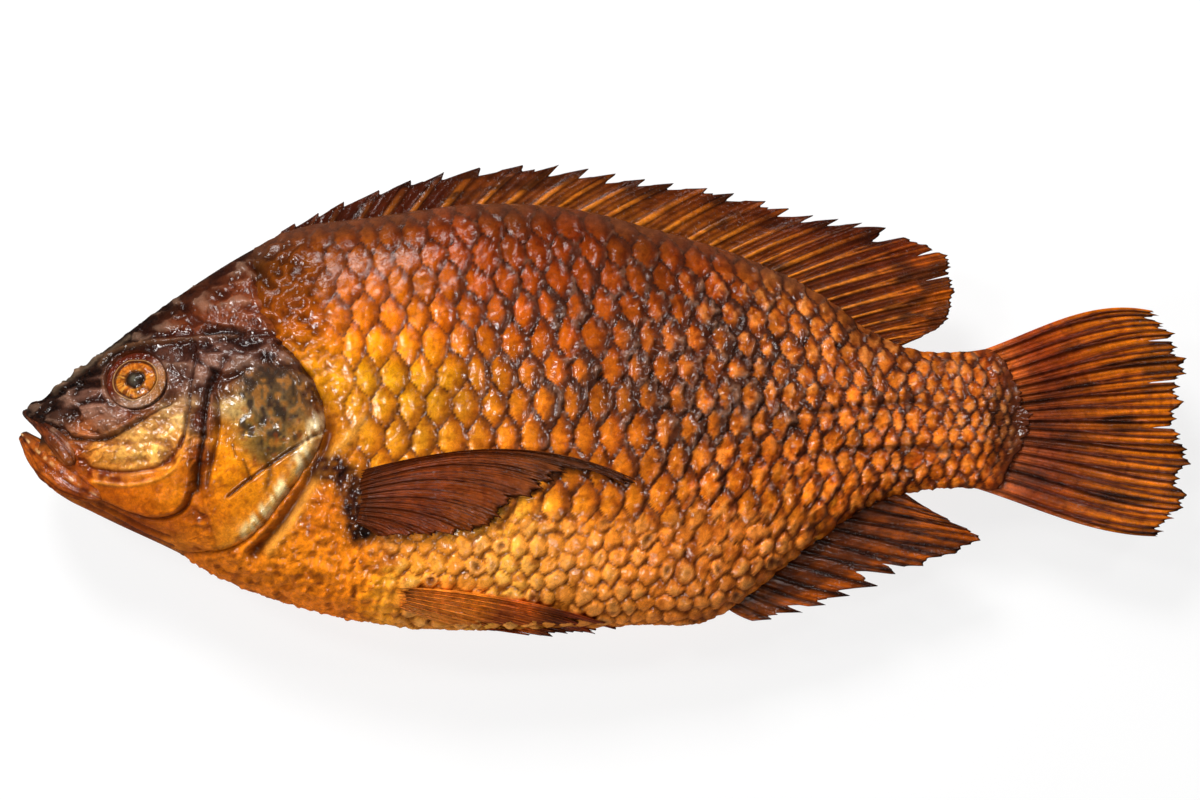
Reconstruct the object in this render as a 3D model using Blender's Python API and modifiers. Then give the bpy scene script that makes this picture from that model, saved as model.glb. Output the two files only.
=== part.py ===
"""A whole smoked tilapia, lying on its right side with its left flank up.

Plan coordinates, in millimetres, lie in the fish's middle plane: u runs back from the tip of
the snout along the body's axis, and v runs from that axis towards the back. The fish's width
is its third direction, which points up, because the fish lies flat. The origin is the centre
of the foot of the whole fish's box: +X points to the tail and +Y to the dorsal fin.

The body is a loft of unlike sections between the back outline and the belly outline. The fins
are thin sheets of rays with thickness, joined to the body, so the fish is one solid.
"""

import math

import bmesh
import bpy
import numpy as np

MM = 0.001

# Driving sizes, mm
BODY_END = 257.0
HALF_WIDTH = 21.5
FLATTENED = 1.5
PLAN_MIDDLE_U = 150.3
PLAN_MIDDLE_V = 4.95
MIDDLE_HEIGHT = HALF_WIDTH - FLATTENED

# Outlines of the body in plan, (u, v)
BACK_OUTLINE = (
    (0, -2.0), (1.5, 2.9), (5, 5.0), (10, 9.0), (20, 17.0), (41, 32.8), (56, 42.6), (67, 48.6),
    (92, 53.2), (120, 56.5), (144, 54.9), (163, 49.9), (185, 43.2), (206, 32.8), (221, 21.9),
    (230, 18.3), (242, 17.6), (257, 20.0),
)
BELLY_OUTLINE = (
    (0, -5.0), (1.5, -9.0), (5, -14.2), (10, -18.9), (20, -24.3), (41, -34.2), (56, -42.1),
    (77, -49.1), (98, -52.8), (128, -53.2), (160, -52.2), (178, -50.7), (188, -44.2),
    (204, -31.3), (219, -21.6), (232, -17.8), (245, -17.4), (257, -19.6),
)
# Half-width along the body, as a share of HALF_WIDTH, and the height of the widest line
FULLNESS = (
    (0, 0.12), (3, 0.29), (8, 0.41), (15, 0.52), (28, 0.71), (45, 0.87), (62, 0.955), (82, 0.995),
    (100, 1.0), (125, 0.965), (150, 0.88), (175, 0.73), (195, 0.57), (213, 0.42), (228, 0.31),
    (242, 0.24), (250, 0.19), (257, 0.11),
)
WIDEST_LINE = ((0, -3.4), (20, -4.0), (60, -6.0), (120, -7.0), (200, -1.5), (257, 0.4))
ROUNDNESS_ABOVE = 1.72
ROUNDNESS_BELOW = 2.25

# The gill cover and the cheek are raised plates: centre, outline and rise
GILL_COVER = ((52.0, -6.0), (
    (44, 26), (58, 21.5), (68, 16.5), (75, 10.5), (78.3, 3), (77.8, -4), (73.4, -13.2),
    (68.7, -19.9), (63.6, -26.4), (56.8, -32.4), (47, -34), (31, -27.5), (0, -24), (-20, -10),
    (-20, 12), (20, 30),
), 1.3)
CHEEK = ((24.0, -8.0), (
    (30, 20), (40, 20), (43.5, 12), (43.8, -2), (43.6, -14), (40, -23), (33, -25.8), (22, -23),
    (4, -24), (-20, -10), (-20, 12), (10, 16),
), 0.8)
PLATE_EDGE = 3.2

# Head openings
EYE = (29.5, 10.3)
SOCKET_RADIUS = 8.0
SOCKET_DEPTH = 2.6
EYEBALL_RADIUS = 6.8
EYEBALL_PROUD = 0.3
MOUTH_CORNER = (10.5, -3.2)
MOUTH_GAP = 4.2
MOUTH_FRONT = (-3.0, -1.6)

# Fins: root and tip curves in plan, each read from the front ray to the rear ray
DORSAL = {
    "root": (
        (66, 44.5), (80, 47.6), (98, 50.4), (118, 52.6), (138, 51.0), (156, 47.6), (172, 43.4),
        (185, 38.6), (197, 32.6), (208, 25.6), (218, 19.4), (229, 14.6),
    ),
    "tip": (
        (71.5, 51.4), (86, 57.2), (104, 62.5), (126, 66.0), (148, 65.2), (172, 61.3), (194, 57.4),
        (212, 52.8), (223, 47.6), (240, 43.6), (241.5, 32.0), (231, 19.8),
    ),
    "bow": ((0, 0.0), (0.7, 0.6), (1, 0.0)),
    "notch": ((0, 0.22), (0.65, 0.2), (0.8, 0.1), (1, 0.06)),
    "rays": 26,
    "thickness": 2.2,
}
ANAL = {
    "root": ((180, -45.8), (192, -37.4), (205, -27.2), (216, -19.6), (227, -14.8)),
    "tip": ((190, -52.2), (210, -46.4), (232, -39.2), (247.4, -31.0), (238, -25.2), (229, -20.8)),
    "bow": ((0, -0.8), (1, 0.4)),
    "rays": 12,
    "notch": ((0, 0.1), (1, 0.08)),
    "thickness": 1.9,
}
TAIL = {
    "root": ((249, 16.6), (251.5, 8.0), (252, 0.0), (251.5, -8.0), (249, -16.8)),
    "tip": ((293.5, 27.6), (300.4, 15.5), (299, 0.0), (300.4, -14.5), (291.5, -29.6)),
    "bow": ((0, 3.4), (0.5, 0.0), (1, -2.6)),
    "rays": 15,
    "notch": ((0, 0.08), (1, 0.06)),
    "thickness": 2.0,
}
PECTORAL = {
    "root": ((82, -14.0), (82, -19.0), (83, -24.0), (84, -28.0)),
    "tip": ((159.5, -16.2), (143, -15.6), (126, -23.5), (108, -30.4), (92, -30.6)),
    "bow": ((0, 9.0), (0.35, 5.0), (1, 0.0)),
    "rays": 11,
    "notch": ((0, 0.03), (1, 0.04)),
    "thickness": 2.0,
}
PELVIC = {
    "root": ((90, -42.0), (91, -43.6), (92, -45.2)),
    "tip": ((151.8, -53.6), (146, -54.8), (136, -55.8), (116, -51.8)),
    "bow": ((0, 2.2), (1, -1.2)),
    "rays": 6,
    "notch": ((0, 0.04), (1, 0.05)),
    "thickness": 2.2,
}
FIN_EDGE_SHARE = 0.5
SAMPLES_A_RAY = 2
STEPS_ALONG_RAY = 3
TAIL_SWAY = 1.2

# Loft resolution
HEAD_STATIONS = 34
TRUNK_STATIONS = 40
AROUND = 36


def smooth(knots, at):
    """A curve through the knots, cubic between them, with each knot's slope taken from its neighbours."""
    x, y = np.array(knots, float).T
    slope = np.gradient(y, x)
    at = np.clip(at, x[0], x[-1])
    i = np.clip(np.searchsorted(x, at, side="right") - 1, 0, len(x) - 2)
    step = x[i + 1] - x[i]
    t = (at - x[i]) / step
    rise = y[i] * (2 * t**3 - 3 * t**2 + 1) + y[i + 1] * (3 * t**2 - 2 * t**3)
    return rise + step * (slope[i] * (t**3 - 2 * t**2 + t) + slope[i + 1] * (t**3 - t**2))


def plan_curve(knots, share):
    """Plan points at shares from 0 to 1 of a curve through the knots, which are evenly spaced in share."""
    places = np.linspace(0, 1, len(knots))
    u, v = np.array(knots, float).T
    return smooth(np.stack([places, u], 1), share), smooth(np.stack([places, v], 1), share)


def within(plate, u, v):
    """0 outside a raised plate to 1 inside: the share of PLATE_EDGE by which a point is inside its outline."""
    (centre_u, centre_v), outline, _ = plate
    du, dv = np.array(outline, float).T - np.array([[centre_u], [centre_v]])
    angle = np.arctan2(dv, du)
    order = np.argsort(angle)
    angle = angle[order]
    reach = np.hypot(du, dv)[order]
    angle = np.concatenate([angle[-1:] - 2 * math.pi, angle, angle[:1] + 2 * math.pi])
    reach = np.concatenate([reach[-1:], reach, reach[:1]])
    edge = smooth(np.stack([angle, reach], 1), np.arctan2(v - centre_v, u - centre_u))
    inside = (edge - np.hypot(u - centre_u, v - centre_v)) / PLATE_EDGE
    inside = np.clip(inside, 0, 1)
    return inside * inside * (3 - 2 * inside)


def raised(u, v):
    """Rise of the gill cover and the cheek over the flank."""
    return sum(plate[2] * within(plate, u, v) for plate in (GILL_COVER, CHEEK))


def flank(u, v):
    """Half the fish's width at a plan point: a superellipse from the widest line to the outline."""
    back = smooth(BACK_OUTLINE, u)
    belly = smooth(BELLY_OUTLINE, u)
    widest = smooth(WIDEST_LINE, u)
    width = HALF_WIDTH * smooth(FULLNESS, u)
    above = np.clip((v - widest) / (back - widest), 0, 1)
    below = np.clip((v - widest) / (belly - widest), 0, 1)
    upper = (1 - above**ROUNDNESS_ABOVE) ** (1 / ROUNDNESS_ABOVE)
    lower = (1 - below**ROUNDNESS_BELOW) ** (1 / ROUNDNESS_BELOW)
    return width * np.where(v > widest, upper, lower)


def place(u, v, height):
    """Points in metres in the part's frame, from plan points and heights over the middle plane.

    Nothing goes below the surface that the fish lies on, which presses its right flank flat.
    """
    x = (u - PLAN_MIDDLE_U) * MM
    y = (v - PLAN_MIDDLE_V) * MM
    z = np.maximum(MIDDLE_HEIGHT + height, 0.0) * MM
    return np.stack(np.broadcast_arrays(x, y, z), axis=-1)


def new_object(name, points, faces, collection):
    mesh = bpy.data.meshes.new(name)
    mesh.from_pydata([tuple(map(float, p)) for p in points.reshape(-1, 3)], [], faces)
    mesh.update()
    thing = bpy.data.objects.new(name, mesh)
    collection.objects.link(thing)
    return thing


def grid_faces(rows, columns, wrap):
    """Quads between neighbouring rows of points; with wrap, the last column joins the first."""
    last = columns if wrap else columns - 1
    return [
        (i * columns + j, (i + 1) * columns + j, (i + 1) * columns + (j + 1) % columns,
         i * columns + (j + 1) % columns)
        for i in range(rows - 1)
        for j in range(last)
    ]


def face_outwards(thing):
    shape = bmesh.new()
    shape.from_mesh(thing.data)
    bmesh.ops.recalc_face_normals(shape, faces=shape.faces)
    shape.to_mesh(thing.data)
    shape.free()


def make_body(collection):
    """The loft: closed sections square to the body's axis, closer together at the head."""
    head_end = 85.0
    share = np.linspace(0, 1, HEAD_STATIONS)
    head = head_end * (0.35 * share**2.2 + 0.65 * share)
    trunk = np.linspace(head_end, BODY_END, TRUNK_STATIONS + 1)[1:]
    u = np.concatenate([head, trunk])[:, None]
    turn = np.linspace(0, 2 * math.pi, AROUND, endpoint=False)[None, :]
    back = smooth(BACK_OUTLINE, u)
    belly = smooth(BELLY_OUTLINE, u)
    widest = smooth(WIDEST_LINE, u)
    width = HALF_WIDTH * smooth(FULLNESS, u)
    across = np.cos(turn)
    along = np.sin(turn)
    power = np.where(along > 0, ROUNDNESS_ABOVE, ROUNDNESS_BELOW)
    rim = np.where(along > 0, back, belly)
    v = widest + (rim - widest) * np.abs(along) ** (2 / power)
    height = width * np.sign(across) * np.abs(across) ** (2 / power)
    height = height + np.sign(across) * raised(u, v) * np.abs(across) ** 0.5
    faces = grid_faces(len(u), AROUND, wrap=True)
    faces.append(tuple(range(AROUND)))
    faces.append(tuple(range((len(u) - 1) * AROUND, len(u) * AROUND)))
    body = new_object("smoked_fish", place(u, v, height), faces, collection)
    face_outwards(body)
    return body


def fin_plan(fin):
    """Plan grid of a fin: bowed rays from root to tip, with an edge that dips between the rays."""
    share = np.linspace(0, 1, fin["rays"] * SAMPLES_A_RAY + 1)[:, None]
    root_u, root_v = plan_curve(fin["root"], share)
    tip_u, tip_v = plan_curve(fin["tip"], share)
    between_rays = np.abs(np.sin(math.pi * fin["rays"] * share))
    reach = 1 - smooth(fin["notch"], share) * between_rays
    t = np.linspace(0, 1, STEPS_ALONG_RAY + 1)[None, :] * reach
    length = np.hypot(tip_u - root_u, tip_v - root_v)
    bow = 4 * t * (1 - t) * smooth(fin["bow"], share)
    u = root_u + (tip_u - root_u) * t - (tip_v - root_v) / length * bow
    v = root_v + (tip_v - root_v) * t + (tip_u - root_u) / length * bow
    return u, v, t


def make_fin(name, fin, height_at, collection):
    """A fin sheet at the heights that height_at(u, v, t) gives, with a thinner edge."""
    u, v, t = fin_plan(fin)
    rows, columns = u.shape
    points = place(u, v, height_at(u, v, t))
    sheet = new_object(name, points, grid_faces(rows, columns, wrap=False), collection)
    group = sheet.vertex_groups.new(name="thickness")
    for index, share in enumerate(np.broadcast_to(t, u.shape).ravel()):
        group.add([index], float(1 - (1 - FIN_EDGE_SHARE) * share), "REPLACE")
    wall = sheet.modifiers.new("thickness", "SOLIDIFY")
    wall.thickness = fin["thickness"] * MM
    wall.offset = 0
    wall.vertex_group = group.name
    return sheet


def eye_ball(name, side, off_surface, radius, collection):
    """A ball on the line through the eye square to the flank, its centre this far off the surface."""
    u, v = EYE
    step = 1.0
    plan = np.array([[u, v], [u + step, v], [u, v + step]])
    height = flank(plan[:, 0], plan[:, 1]) + raised(plan[:, 0], plan[:, 1])
    normal = np.array([height[0] - height[1], height[0] - height[2], step])
    normal /= np.linalg.norm(normal)
    u, v, height = np.array([u, v, height[0]]) + normal * off_surface
    shape = bmesh.new()
    bmesh.ops.create_uvsphere(shape, u_segments=18, v_segments=10, radius=radius * MM)
    mesh = bpy.data.meshes.new(name)
    shape.to_mesh(mesh)
    shape.free()
    thing = bpy.data.objects.new(name, mesh)
    thing.location = (
        (u - PLAN_MIDDLE_U) * MM, (v - PLAN_MIDDLE_V) * MM, (MIDDLE_HEIGHT + side * height) * MM
    )
    collection.objects.link(thing)
    return thing


def make_mouth(collection):
    """A wedge across the snout: its edge lies at the mouth's corner and it widens forwards."""
    half_gap = MOUTH_GAP / 2
    reach = 2 * HALF_WIDTH
    front_u, front_v = MOUTH_FRONT
    corners = np.array([
        (u, v, side * reach)
        for side in (-1, 1)
        for u, v in (MOUTH_CORNER, (front_u, front_v + half_gap), (front_u, front_v - half_gap))
    ])
    points = np.stack([
        (corners[:, 0] - PLAN_MIDDLE_U) * MM,
        (corners[:, 1] - PLAN_MIDDLE_V) * MM,
        (corners[:, 2] + MIDDLE_HEIGHT) * MM,
    ], axis=1)
    faces = [(0, 1, 2), (3, 4, 5), (0, 3, 4, 1), (1, 4, 5, 2), (2, 5, 3, 0)]
    wedge = new_object("mouth_cutter", points, faces, collection)
    face_outwards(wedge)
    return wedge


def combine(body, other, operation):
    step = body.modifiers.new(other.name, "BOOLEAN")
    step.operation = operation
    step.object = other
    step.solver = "EXACT"


def skin_material():
    skin = bpy.data.materials.new("smoked_skin")
    skin.use_nodes = True
    shader = skin.node_tree.nodes["Principled BSDF"]
    shader.inputs["Base Color"].default_value = (0.36, 0.12, 0.025, 1)
    shader.inputs["Roughness"].default_value = 0.42
    shader.inputs["Metallic"].default_value = 0.0
    return skin


def main():
    for thing in list(bpy.data.objects):
        bpy.data.objects.remove(thing)
    fish_parts = bpy.data.collections.new("smoked_fish")
    helpers = bpy.data.collections.new("cutters_and_joined_fins")
    for collection in (fish_parts, helpers):
        bpy.context.scene.collection.children.link(collection)

    body = make_body(fish_parts)
    body.data.materials.append(skin_material())

    socket_ball = (SOCKET_RADIUS**2 + SOCKET_DEPTH**2) / (2 * SOCKET_DEPTH)
    for side, name in ((1, "left"), (-1, "right")):
        hollow = eye_ball(f"socket_{name}", side, socket_ball - SOCKET_DEPTH, socket_ball, helpers)
        eyeball_centre = EYEBALL_PROUD - EYEBALL_RADIUS
        eyeball = eye_ball(f"eyeball_{name}", side, eyeball_centre, EYEBALL_RADIUS, helpers)
        combine(body, hollow, "DIFFERENCE")
        combine(body, eyeball, "UNION")
    combine(body, make_mouth(helpers), "DIFFERENCE")

    def in_middle_plane(u, v, t):
        return 0 * u

    def swaying(u, v, t):
        return TAIL_SWAY * np.sin(v / 9.0) * t

    def on_flank(u, v, t):
        return flank(u, v) + 0.5

    def along_belly(side):
        def height(u, v, t):
            return side * (2.5 + flank(u, np.maximum(v, smooth(BELLY_OUTLINE, u))))
        return height

    fins = [
        make_fin("dorsal", DORSAL, in_middle_plane, helpers),
        make_fin("anal", ANAL, in_middle_plane, helpers),
        make_fin("tail", TAIL, swaying, helpers),
        make_fin("pectoral_left", PECTORAL, on_flank, helpers),
        make_fin("pelvic_left", PELVIC, along_belly(1), helpers),
        make_fin("pelvic_right", PELVIC, along_belly(-1), helpers),
    ]
    for fin in fins:
        combine(body, fin, "UNION")
    for helper in helpers.objects:
        helper.hide_render = True
        helper.display_type = "WIRE"


main()
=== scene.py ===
"""A whole hot-smoked tilapia on a pale table, lying on its right side with its left flank up.

Plan coordinates, in millimetres, lie in the fish's middle plane: u runs back from the tip of
the snout, v runs from the body's axis towards the back, and a height h stands out of that
plane. A girth share q goes round one flank, from -1 at the belly ridge through 0 at the widest
line to 1 at the back ridge. Skins are grids over (u, q), pushed out along their normals by a
relief in millimetres; fins are grids of rays.
"""

import math
from types import SimpleNamespace

import bpy
import numpy as np
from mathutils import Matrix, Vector


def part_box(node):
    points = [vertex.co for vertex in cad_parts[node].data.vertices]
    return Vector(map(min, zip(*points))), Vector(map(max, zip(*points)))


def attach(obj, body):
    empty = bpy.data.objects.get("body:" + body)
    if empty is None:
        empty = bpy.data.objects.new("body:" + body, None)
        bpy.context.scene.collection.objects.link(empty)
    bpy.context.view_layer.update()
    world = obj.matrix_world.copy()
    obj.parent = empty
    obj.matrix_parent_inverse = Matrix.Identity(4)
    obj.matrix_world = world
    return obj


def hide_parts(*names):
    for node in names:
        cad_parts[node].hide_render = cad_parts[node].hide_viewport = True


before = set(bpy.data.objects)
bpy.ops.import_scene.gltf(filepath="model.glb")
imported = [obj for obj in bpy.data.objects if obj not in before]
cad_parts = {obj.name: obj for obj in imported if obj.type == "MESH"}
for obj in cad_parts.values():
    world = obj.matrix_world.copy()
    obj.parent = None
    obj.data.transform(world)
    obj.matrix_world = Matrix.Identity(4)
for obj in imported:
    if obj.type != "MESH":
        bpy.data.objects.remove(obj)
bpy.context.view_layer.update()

# ---------------------------------------------------------------- sizes, mm in plan coordinates

PLAN_LENGTH = 300.6
PLAN_BELLY = -56.24
BODY_END = 257.0
HALF_WIDTH = 21.5
MIDDLE_HEIGHT = 20.0
PRESSED_HALF_WIDTH = 19.5

LOW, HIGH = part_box("smoked_fish")
MM = (HIGH.x - LOW.x) / PLAN_LENGTH

BACK_OUTLINE = (
    (0, -2.0), (1.5, 2.9), (5, 5.0), (10, 9.0), (20, 17.0), (41, 32.8), (56, 42.6), (67, 48.6),
    (92, 53.2), (120, 56.5), (144, 54.9), (163, 49.9), (185, 43.2), (206, 32.8), (221, 21.9),
    (230, 18.3), (242, 17.6), (257, 20.0),
)
BELLY_OUTLINE = (
    (0, -5.0), (1.5, -9.0), (5, -14.2), (10, -18.9), (20, -24.3), (41, -34.2), (56, -42.1),
    (77, -49.1), (98, -52.8), (128, -53.2), (160, -52.2), (178, -50.7), (188, -44.2),
    (204, -31.3), (219, -21.6), (232, -17.8), (245, -17.4), (257, -19.6),
)
FULLNESS = (
    (0, 0.12), (3, 0.29), (8, 0.41), (15, 0.52), (28, 0.71), (45, 0.87), (62, 0.955), (82, 0.995),
    (100, 1.0), (125, 0.965), (150, 0.88), (175, 0.73), (195, 0.57), (213, 0.42), (228, 0.31),
    (242, 0.24), (250, 0.19), (257, 0.11),
)
WIDEST_LINE = ((0, -3.4), (20, -4.0), (60, -6.0), (120, -7.0), (200, -1.5), (257, 0.4))
ROUNDNESS_ABOVE = 1.72
ROUNDNESS_BELOW = 2.25

# Rear edge of the head's skin: free over the gill opening, joined to the nape above it
HEAD_CENTRE = (45.0, -2.0)
HEAD_EDGE = (
    (56, 54), (59, 47), (61, 36), (64.5, 26), (70, 18), (75.5, 10.5), (78.3, 3), (78.3, -1.5),
    (76.7, -7.2), (73.4, -13.2), (68.7, -19.9), (63.6, -26.4), (58, -31.8), (52, -34.6),
    (46, -35.2), (40, -35.4), (20, -34), (-15, -20), (-30, 0), (-20, 25), (20, 55),
)
EYE = (29.5, 10.3)

# The long view from above, mm and degrees: marks on the skin are laid out as it sees them
VIEW_DISTANCE = 732.0
VIEW_ELEVATION = 84.0
VIEW_MIDDLE = (149.4, 5.2)

# Scale rows: pitch along the body and across it, mm, at places along the body
PITCH_ALONG = (
    (50, 7.8), (85, 7.2), (120, 6.8), (160, 6.6), (190, 5.7), (212, 4.9), (232, 4.3), (247, 3.2),
    (257, 2.3),
)
PITCH_ACROSS = (
    (50, 7.6), (90, 8.0), (130, 8.3), (165, 7.9), (190, 6.6), (212, 5.5), (232, 4.7), (247, 3.7),
    (257, 2.8),
)


# ---------------------------------------------------------------- curves, noise and fields

def smooth(knots, at):
    """A curve through the knots, cubic between them, with each knot's slope taken from its neighbours."""
    x, y = np.array(knots, float).T
    slope = np.gradient(y, x)
    at = np.clip(at, x[0], x[-1])
    i = np.clip(np.searchsorted(x, at, side="right") - 1, 0, len(x) - 2)
    step = x[i + 1] - x[i]
    t = (at - x[i]) / step
    rise = y[i] * (2 * t**3 - 3 * t**2 + 1) + y[i + 1] * (3 * t**2 - 2 * t**3)
    return rise + step * (slope[i] * (t**3 - 2 * t**2 + t) + slope[i + 1] * (t**3 - t**2))


def plan_curve(knots, share):
    """Plan points at shares from 0 to 1 of a curve through evenly spaced knots."""
    places = np.linspace(0, 1, len(knots))
    u, v = np.array(knots, float).T
    return smooth(np.stack([places, u], 1), share), smooth(np.stack([places, v], 1), share)


def ramp(start, end, x):
    """0 before start, 1 after end, eased between; start may be the larger."""
    t = np.clip((x - start) / (end - start), 0, 1)
    return t * t * (3 - 2 * t)


def bell(x, width):
    """1 where x is nought, falling like a bell to nearly 0 at twice the width."""
    return np.exp(-((x / width) ** 2))


def hill(u, v, centre, radii, turn=0.0):
    """A bell of height 1 at the centre, with these radii, turned by an angle in degrees."""
    c, s = math.cos(math.radians(turn)), math.sin(math.radians(turn))
    du, dv = u - centre[0], v - centre[1]
    return np.exp(-(((du * c + dv * s) / radii[0]) ** 2) - ((dv * c - du * s) / radii[1]) ** 2)


def chance(i, j, seed):
    """Evenly spread numbers from 0 to 1, the same each time for a whole-number place and seed."""
    i = np.asarray(i).astype(np.int64)
    j = np.asarray(j).astype(np.int64)
    n = (i * 374761393 + j * 668265263 + seed * 982451653) & 0xFFFFFFFF
    n = ((n ^ (n >> 13)) * 1274126177) & 0xFFFFFFFF
    return ((n ^ (n >> 16)) & 0xFFFF) / 65535.0


def swell(x, y, seed=0):
    """Smooth noise from -1 to 1: chances at whole-number places, eased between them."""
    i, j = np.floor(x), np.floor(y)
    a, b = x - i, y - j
    a, b = a * a * (3 - 2 * a), b * b * (3 - 2 * b)
    low = chance(i, j, seed) * (1 - a) + chance(i + 1, j, seed) * a
    high = chance(i, j + 1, seed) * (1 - a) + chance(i + 1, j + 1, seed) * a
    return 2 * (low * (1 - b) + high * b) - 1


def drift(x, y, seed=0, octaves=3):
    """Noise from about -1 to 1 with finer and weaker layers on top."""
    total = 0.0
    for k in range(octaves):
        total = total + swell(x * 2**k + 17.3 * k, y * 2**k - 9.1 * k, seed + k) * 0.5**k
    return total / 1.6


def creases(x, y, seed=0):
    """Crumpled skin from 0 to 1: sharp valleys where warped noise crosses zero, rounded between."""
    wx = x + 0.6 * swell(x * 0.7, y * 0.7, seed + 50)
    wy = y + 0.6 * swell(x * 0.7 + 31, y * 0.7, seed + 51)
    coarse = np.abs(swell(wx, wy, seed))
    fine = np.abs(swell(wx * 2.1 + 5, wy * 2.1, seed + 1))
    return np.minimum(1, 1.5 * (0.65 * coarse**0.7 + 0.35 * fine**0.7))


def facets(x, y, seed=0):
    """The highest of many tilted, slightly domed caps: near-flat faces that meet in sharp valleys."""
    i0, j0 = np.floor(x), np.floor(y)
    top = np.full(np.broadcast(x, y).shape, -np.inf)
    for di in (-1, 0, 1):
        for dj in (-1, 0, 1):
            i, j = i0 + di, j0 + dj
            dx = x - i - chance(i, j, seed)
            dy = y - j - chance(i, j, seed + 1)
            lift = chance(i, j, seed + 2)
            lean_x = chance(i, j, seed + 3) - 0.5
            lean_y = chance(i, j, seed + 4) - 0.5
            top = np.maximum(top, 0.5 * lift + lean_x * dx + lean_y * dy - 0.8 * (dx * dx + dy * dy))
    return top


def crumple(x, y, seed=0):
    """Crushed foil from about -1 to 1: facets less other facets, so it has sharp ridges and valleys."""
    wx = x + 0.35 * swell(x * 0.8, y * 0.8, seed + 60)
    wy = y + 0.35 * swell(x * 0.8 + 11, y * 0.8, seed + 61)
    coarse = facets(wx, wy, seed) - facets(wx * 0.9 + 7, wy * 1.1 - 5, seed + 10)
    fine = facets(wx * 2.3, wy * 2.3, seed + 20) - facets(wx * 2.1 + 3, wy * 2.5, seed + 30)
    return coarse + 0.28 * fine


def near_line(u, v, points, width):
    """1 on a curve through the plan points, falling like a bell to nearly 0 at twice the width."""
    nearest = np.full(np.broadcast(u, v).shape, np.inf)
    path = np.stack(plan_curve(points, np.linspace(0, 1, 5 * len(points) - 4)), axis=1)
    for (u0, v0), (u1, v1) in zip(path[:-1], path[1:]):
        du, dv = u1 - u0, v1 - v0
        t = np.clip(((u - u0) * du + (v - v0) * dv) / (du * du + dv * dv), 0, 1)
        nearest = np.minimum(nearest, (u - u0 - t * du) ** 2 + (v - v0 - t * dv) ** 2)
    return np.exp(-nearest / width**2)


def lobe_reach(centre, outline, u, v):
    """How far a plan point lies inside an outline that is seen whole from its centre, mm."""
    du, dv = np.array(outline, float).T - np.array([[centre[0]], [centre[1]]])
    angle = np.arctan2(dv, du)
    order = np.argsort(angle)
    angle = angle[order]
    reach = np.hypot(du, dv)[order]
    angle = np.concatenate([angle[-1:] - 2 * math.pi, angle, angle[:1] + 2 * math.pi])
    reach = np.concatenate([reach[-1:], reach, reach[:1]])
    edge = smooth(np.stack([angle, reach], 1), np.arctan2(v - centre[1], u - centre[0]))
    return edge - np.hypot(u - centre[0], v - centre[1])


def colour(red, green, blue):
    """A screen colour, 0 to 255, as the linear values that a shader mixes."""
    c = np.array([red, green, blue], float) / 255
    return np.where(c <= 0.04045, c / 12.92, ((c + 0.055) / 1.055) ** 2.4)


def mixed(base, other, share):
    """Colours part of the way from base to other, all the way where the share is 1."""
    share = np.clip(share, 0, 1)[..., None]
    return base * (1 - share) + other * share


def shifted(tint, factors, share):
    """Colours multiplied by factors for red, green and blue, where the share is 1."""
    return mixed(tint, tint * np.array(factors), share)


def deepened(tint):
    """Colours made darker and fuller where they are dark, as the lamps' sheen greys them again."""
    return np.clip(tint, 0.0005, 1) ** 1.15 * np.array([1.08, 1.18, 0.95])


def blended(u, v, anchors):
    """A field of colour: each anchor (u, v, radius, colour) weighs in by a bell of its distance."""
    total, weights = 0.0, 1e-9
    for au, av, radius, tint in anchors:
        w = np.exp(-((u - au) ** 2 + (v - av) ** 2) / (2 * radius**2)) + 1e-9
        total = total + w[..., None] * colour(*tint)
        weights = weights + w
    return total / weights[..., None]


# ---------------------------------------------------------------- the body's form

def section(u):
    """Back, belly and widest line in plan, and the half-width, at a place along the body."""
    return (smooth(BACK_OUTLINE, u), smooth(BELLY_OUTLINE, u), smooth(WIDEST_LINE, u),
            HALF_WIDTH * smooth(FULLNESS, u))


def girth_point(u, q):
    """Plan v and height h at a girth share: a superellipse by a turn that evens out its steps."""
    back, belly, widest, width = section(u)
    above = q > 0
    rim = np.where(above, back - widest, widest - belly)
    power = np.where(above, ROUNDNESS_ABOVE, ROUNDNESS_BELOW)
    turn = q * math.pi / 2
    s = np.sqrt(width / rim) * np.abs(np.sin(turn))
    c = np.cos(turn)
    size = (s**power + c**power) ** (-1 / power)
    return widest + np.sign(q) * rim * s * size, width * c * size


def flank(u, v):
    """Half the fish's width at a plan point, nothing beyond the outline."""
    back, belly, widest, width = section(u)
    above = np.clip((v - widest) / (back - widest), 0, 1)
    below = np.clip((v - widest) / (belly - widest), 0, 1)
    upper = (1 - above**ROUNDNESS_ABOVE) ** (1 / ROUNDNESS_ABOVE)
    lower = (1 - below**ROUNDNESS_BELOW) ** (1 / ROUNDNESS_BELOW)
    return width * np.where(v > widest, upper, lower)


def seen(u, v, h):
    """Where points over the middle plane come to lie in plan when they are looked at from above."""
    c, s = math.cos(math.radians(VIEW_ELEVATION)), math.sin(math.radians(VIEW_ELEVATION))
    du, dv = u - VIEW_MIDDLE[0], v - VIEW_MIDDLE[1]
    nearer = VIEW_DISTANCE / (VIEW_DISTANCE + dv * c - h * s)
    return VIEW_MIDDLE[0] + du * nearer, VIEW_MIDDLE[1] + (dv * s + h * c) * nearer


def stood(u, v, height_at):
    """The inverse: the plan points, and heights, that are seen at these plan points on a surface."""
    true_u, true_v = np.array(u, float), np.array(v, float)
    for _ in range(5):
        h = height_at(true_u, true_v)
        at_u, at_v = seen(true_u, true_v, h)
        true_u, true_v = true_u + u - at_u, true_v + v - at_v
    return true_u, true_v, height_at(true_u, true_v)


def pressed(h):
    """Heights of the flank that the fish lies on, eased to a flat."""
    ease = 1.5
    t = np.clip((h - PRESSED_HALF_WIDTH + ease) / (2 * ease), 0, 1)
    return np.where(h < PRESSED_HALF_WIDTH - ease, h, PRESSED_HALF_WIDTH - ease + 2 * ease * (t - t * t / 2))


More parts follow.
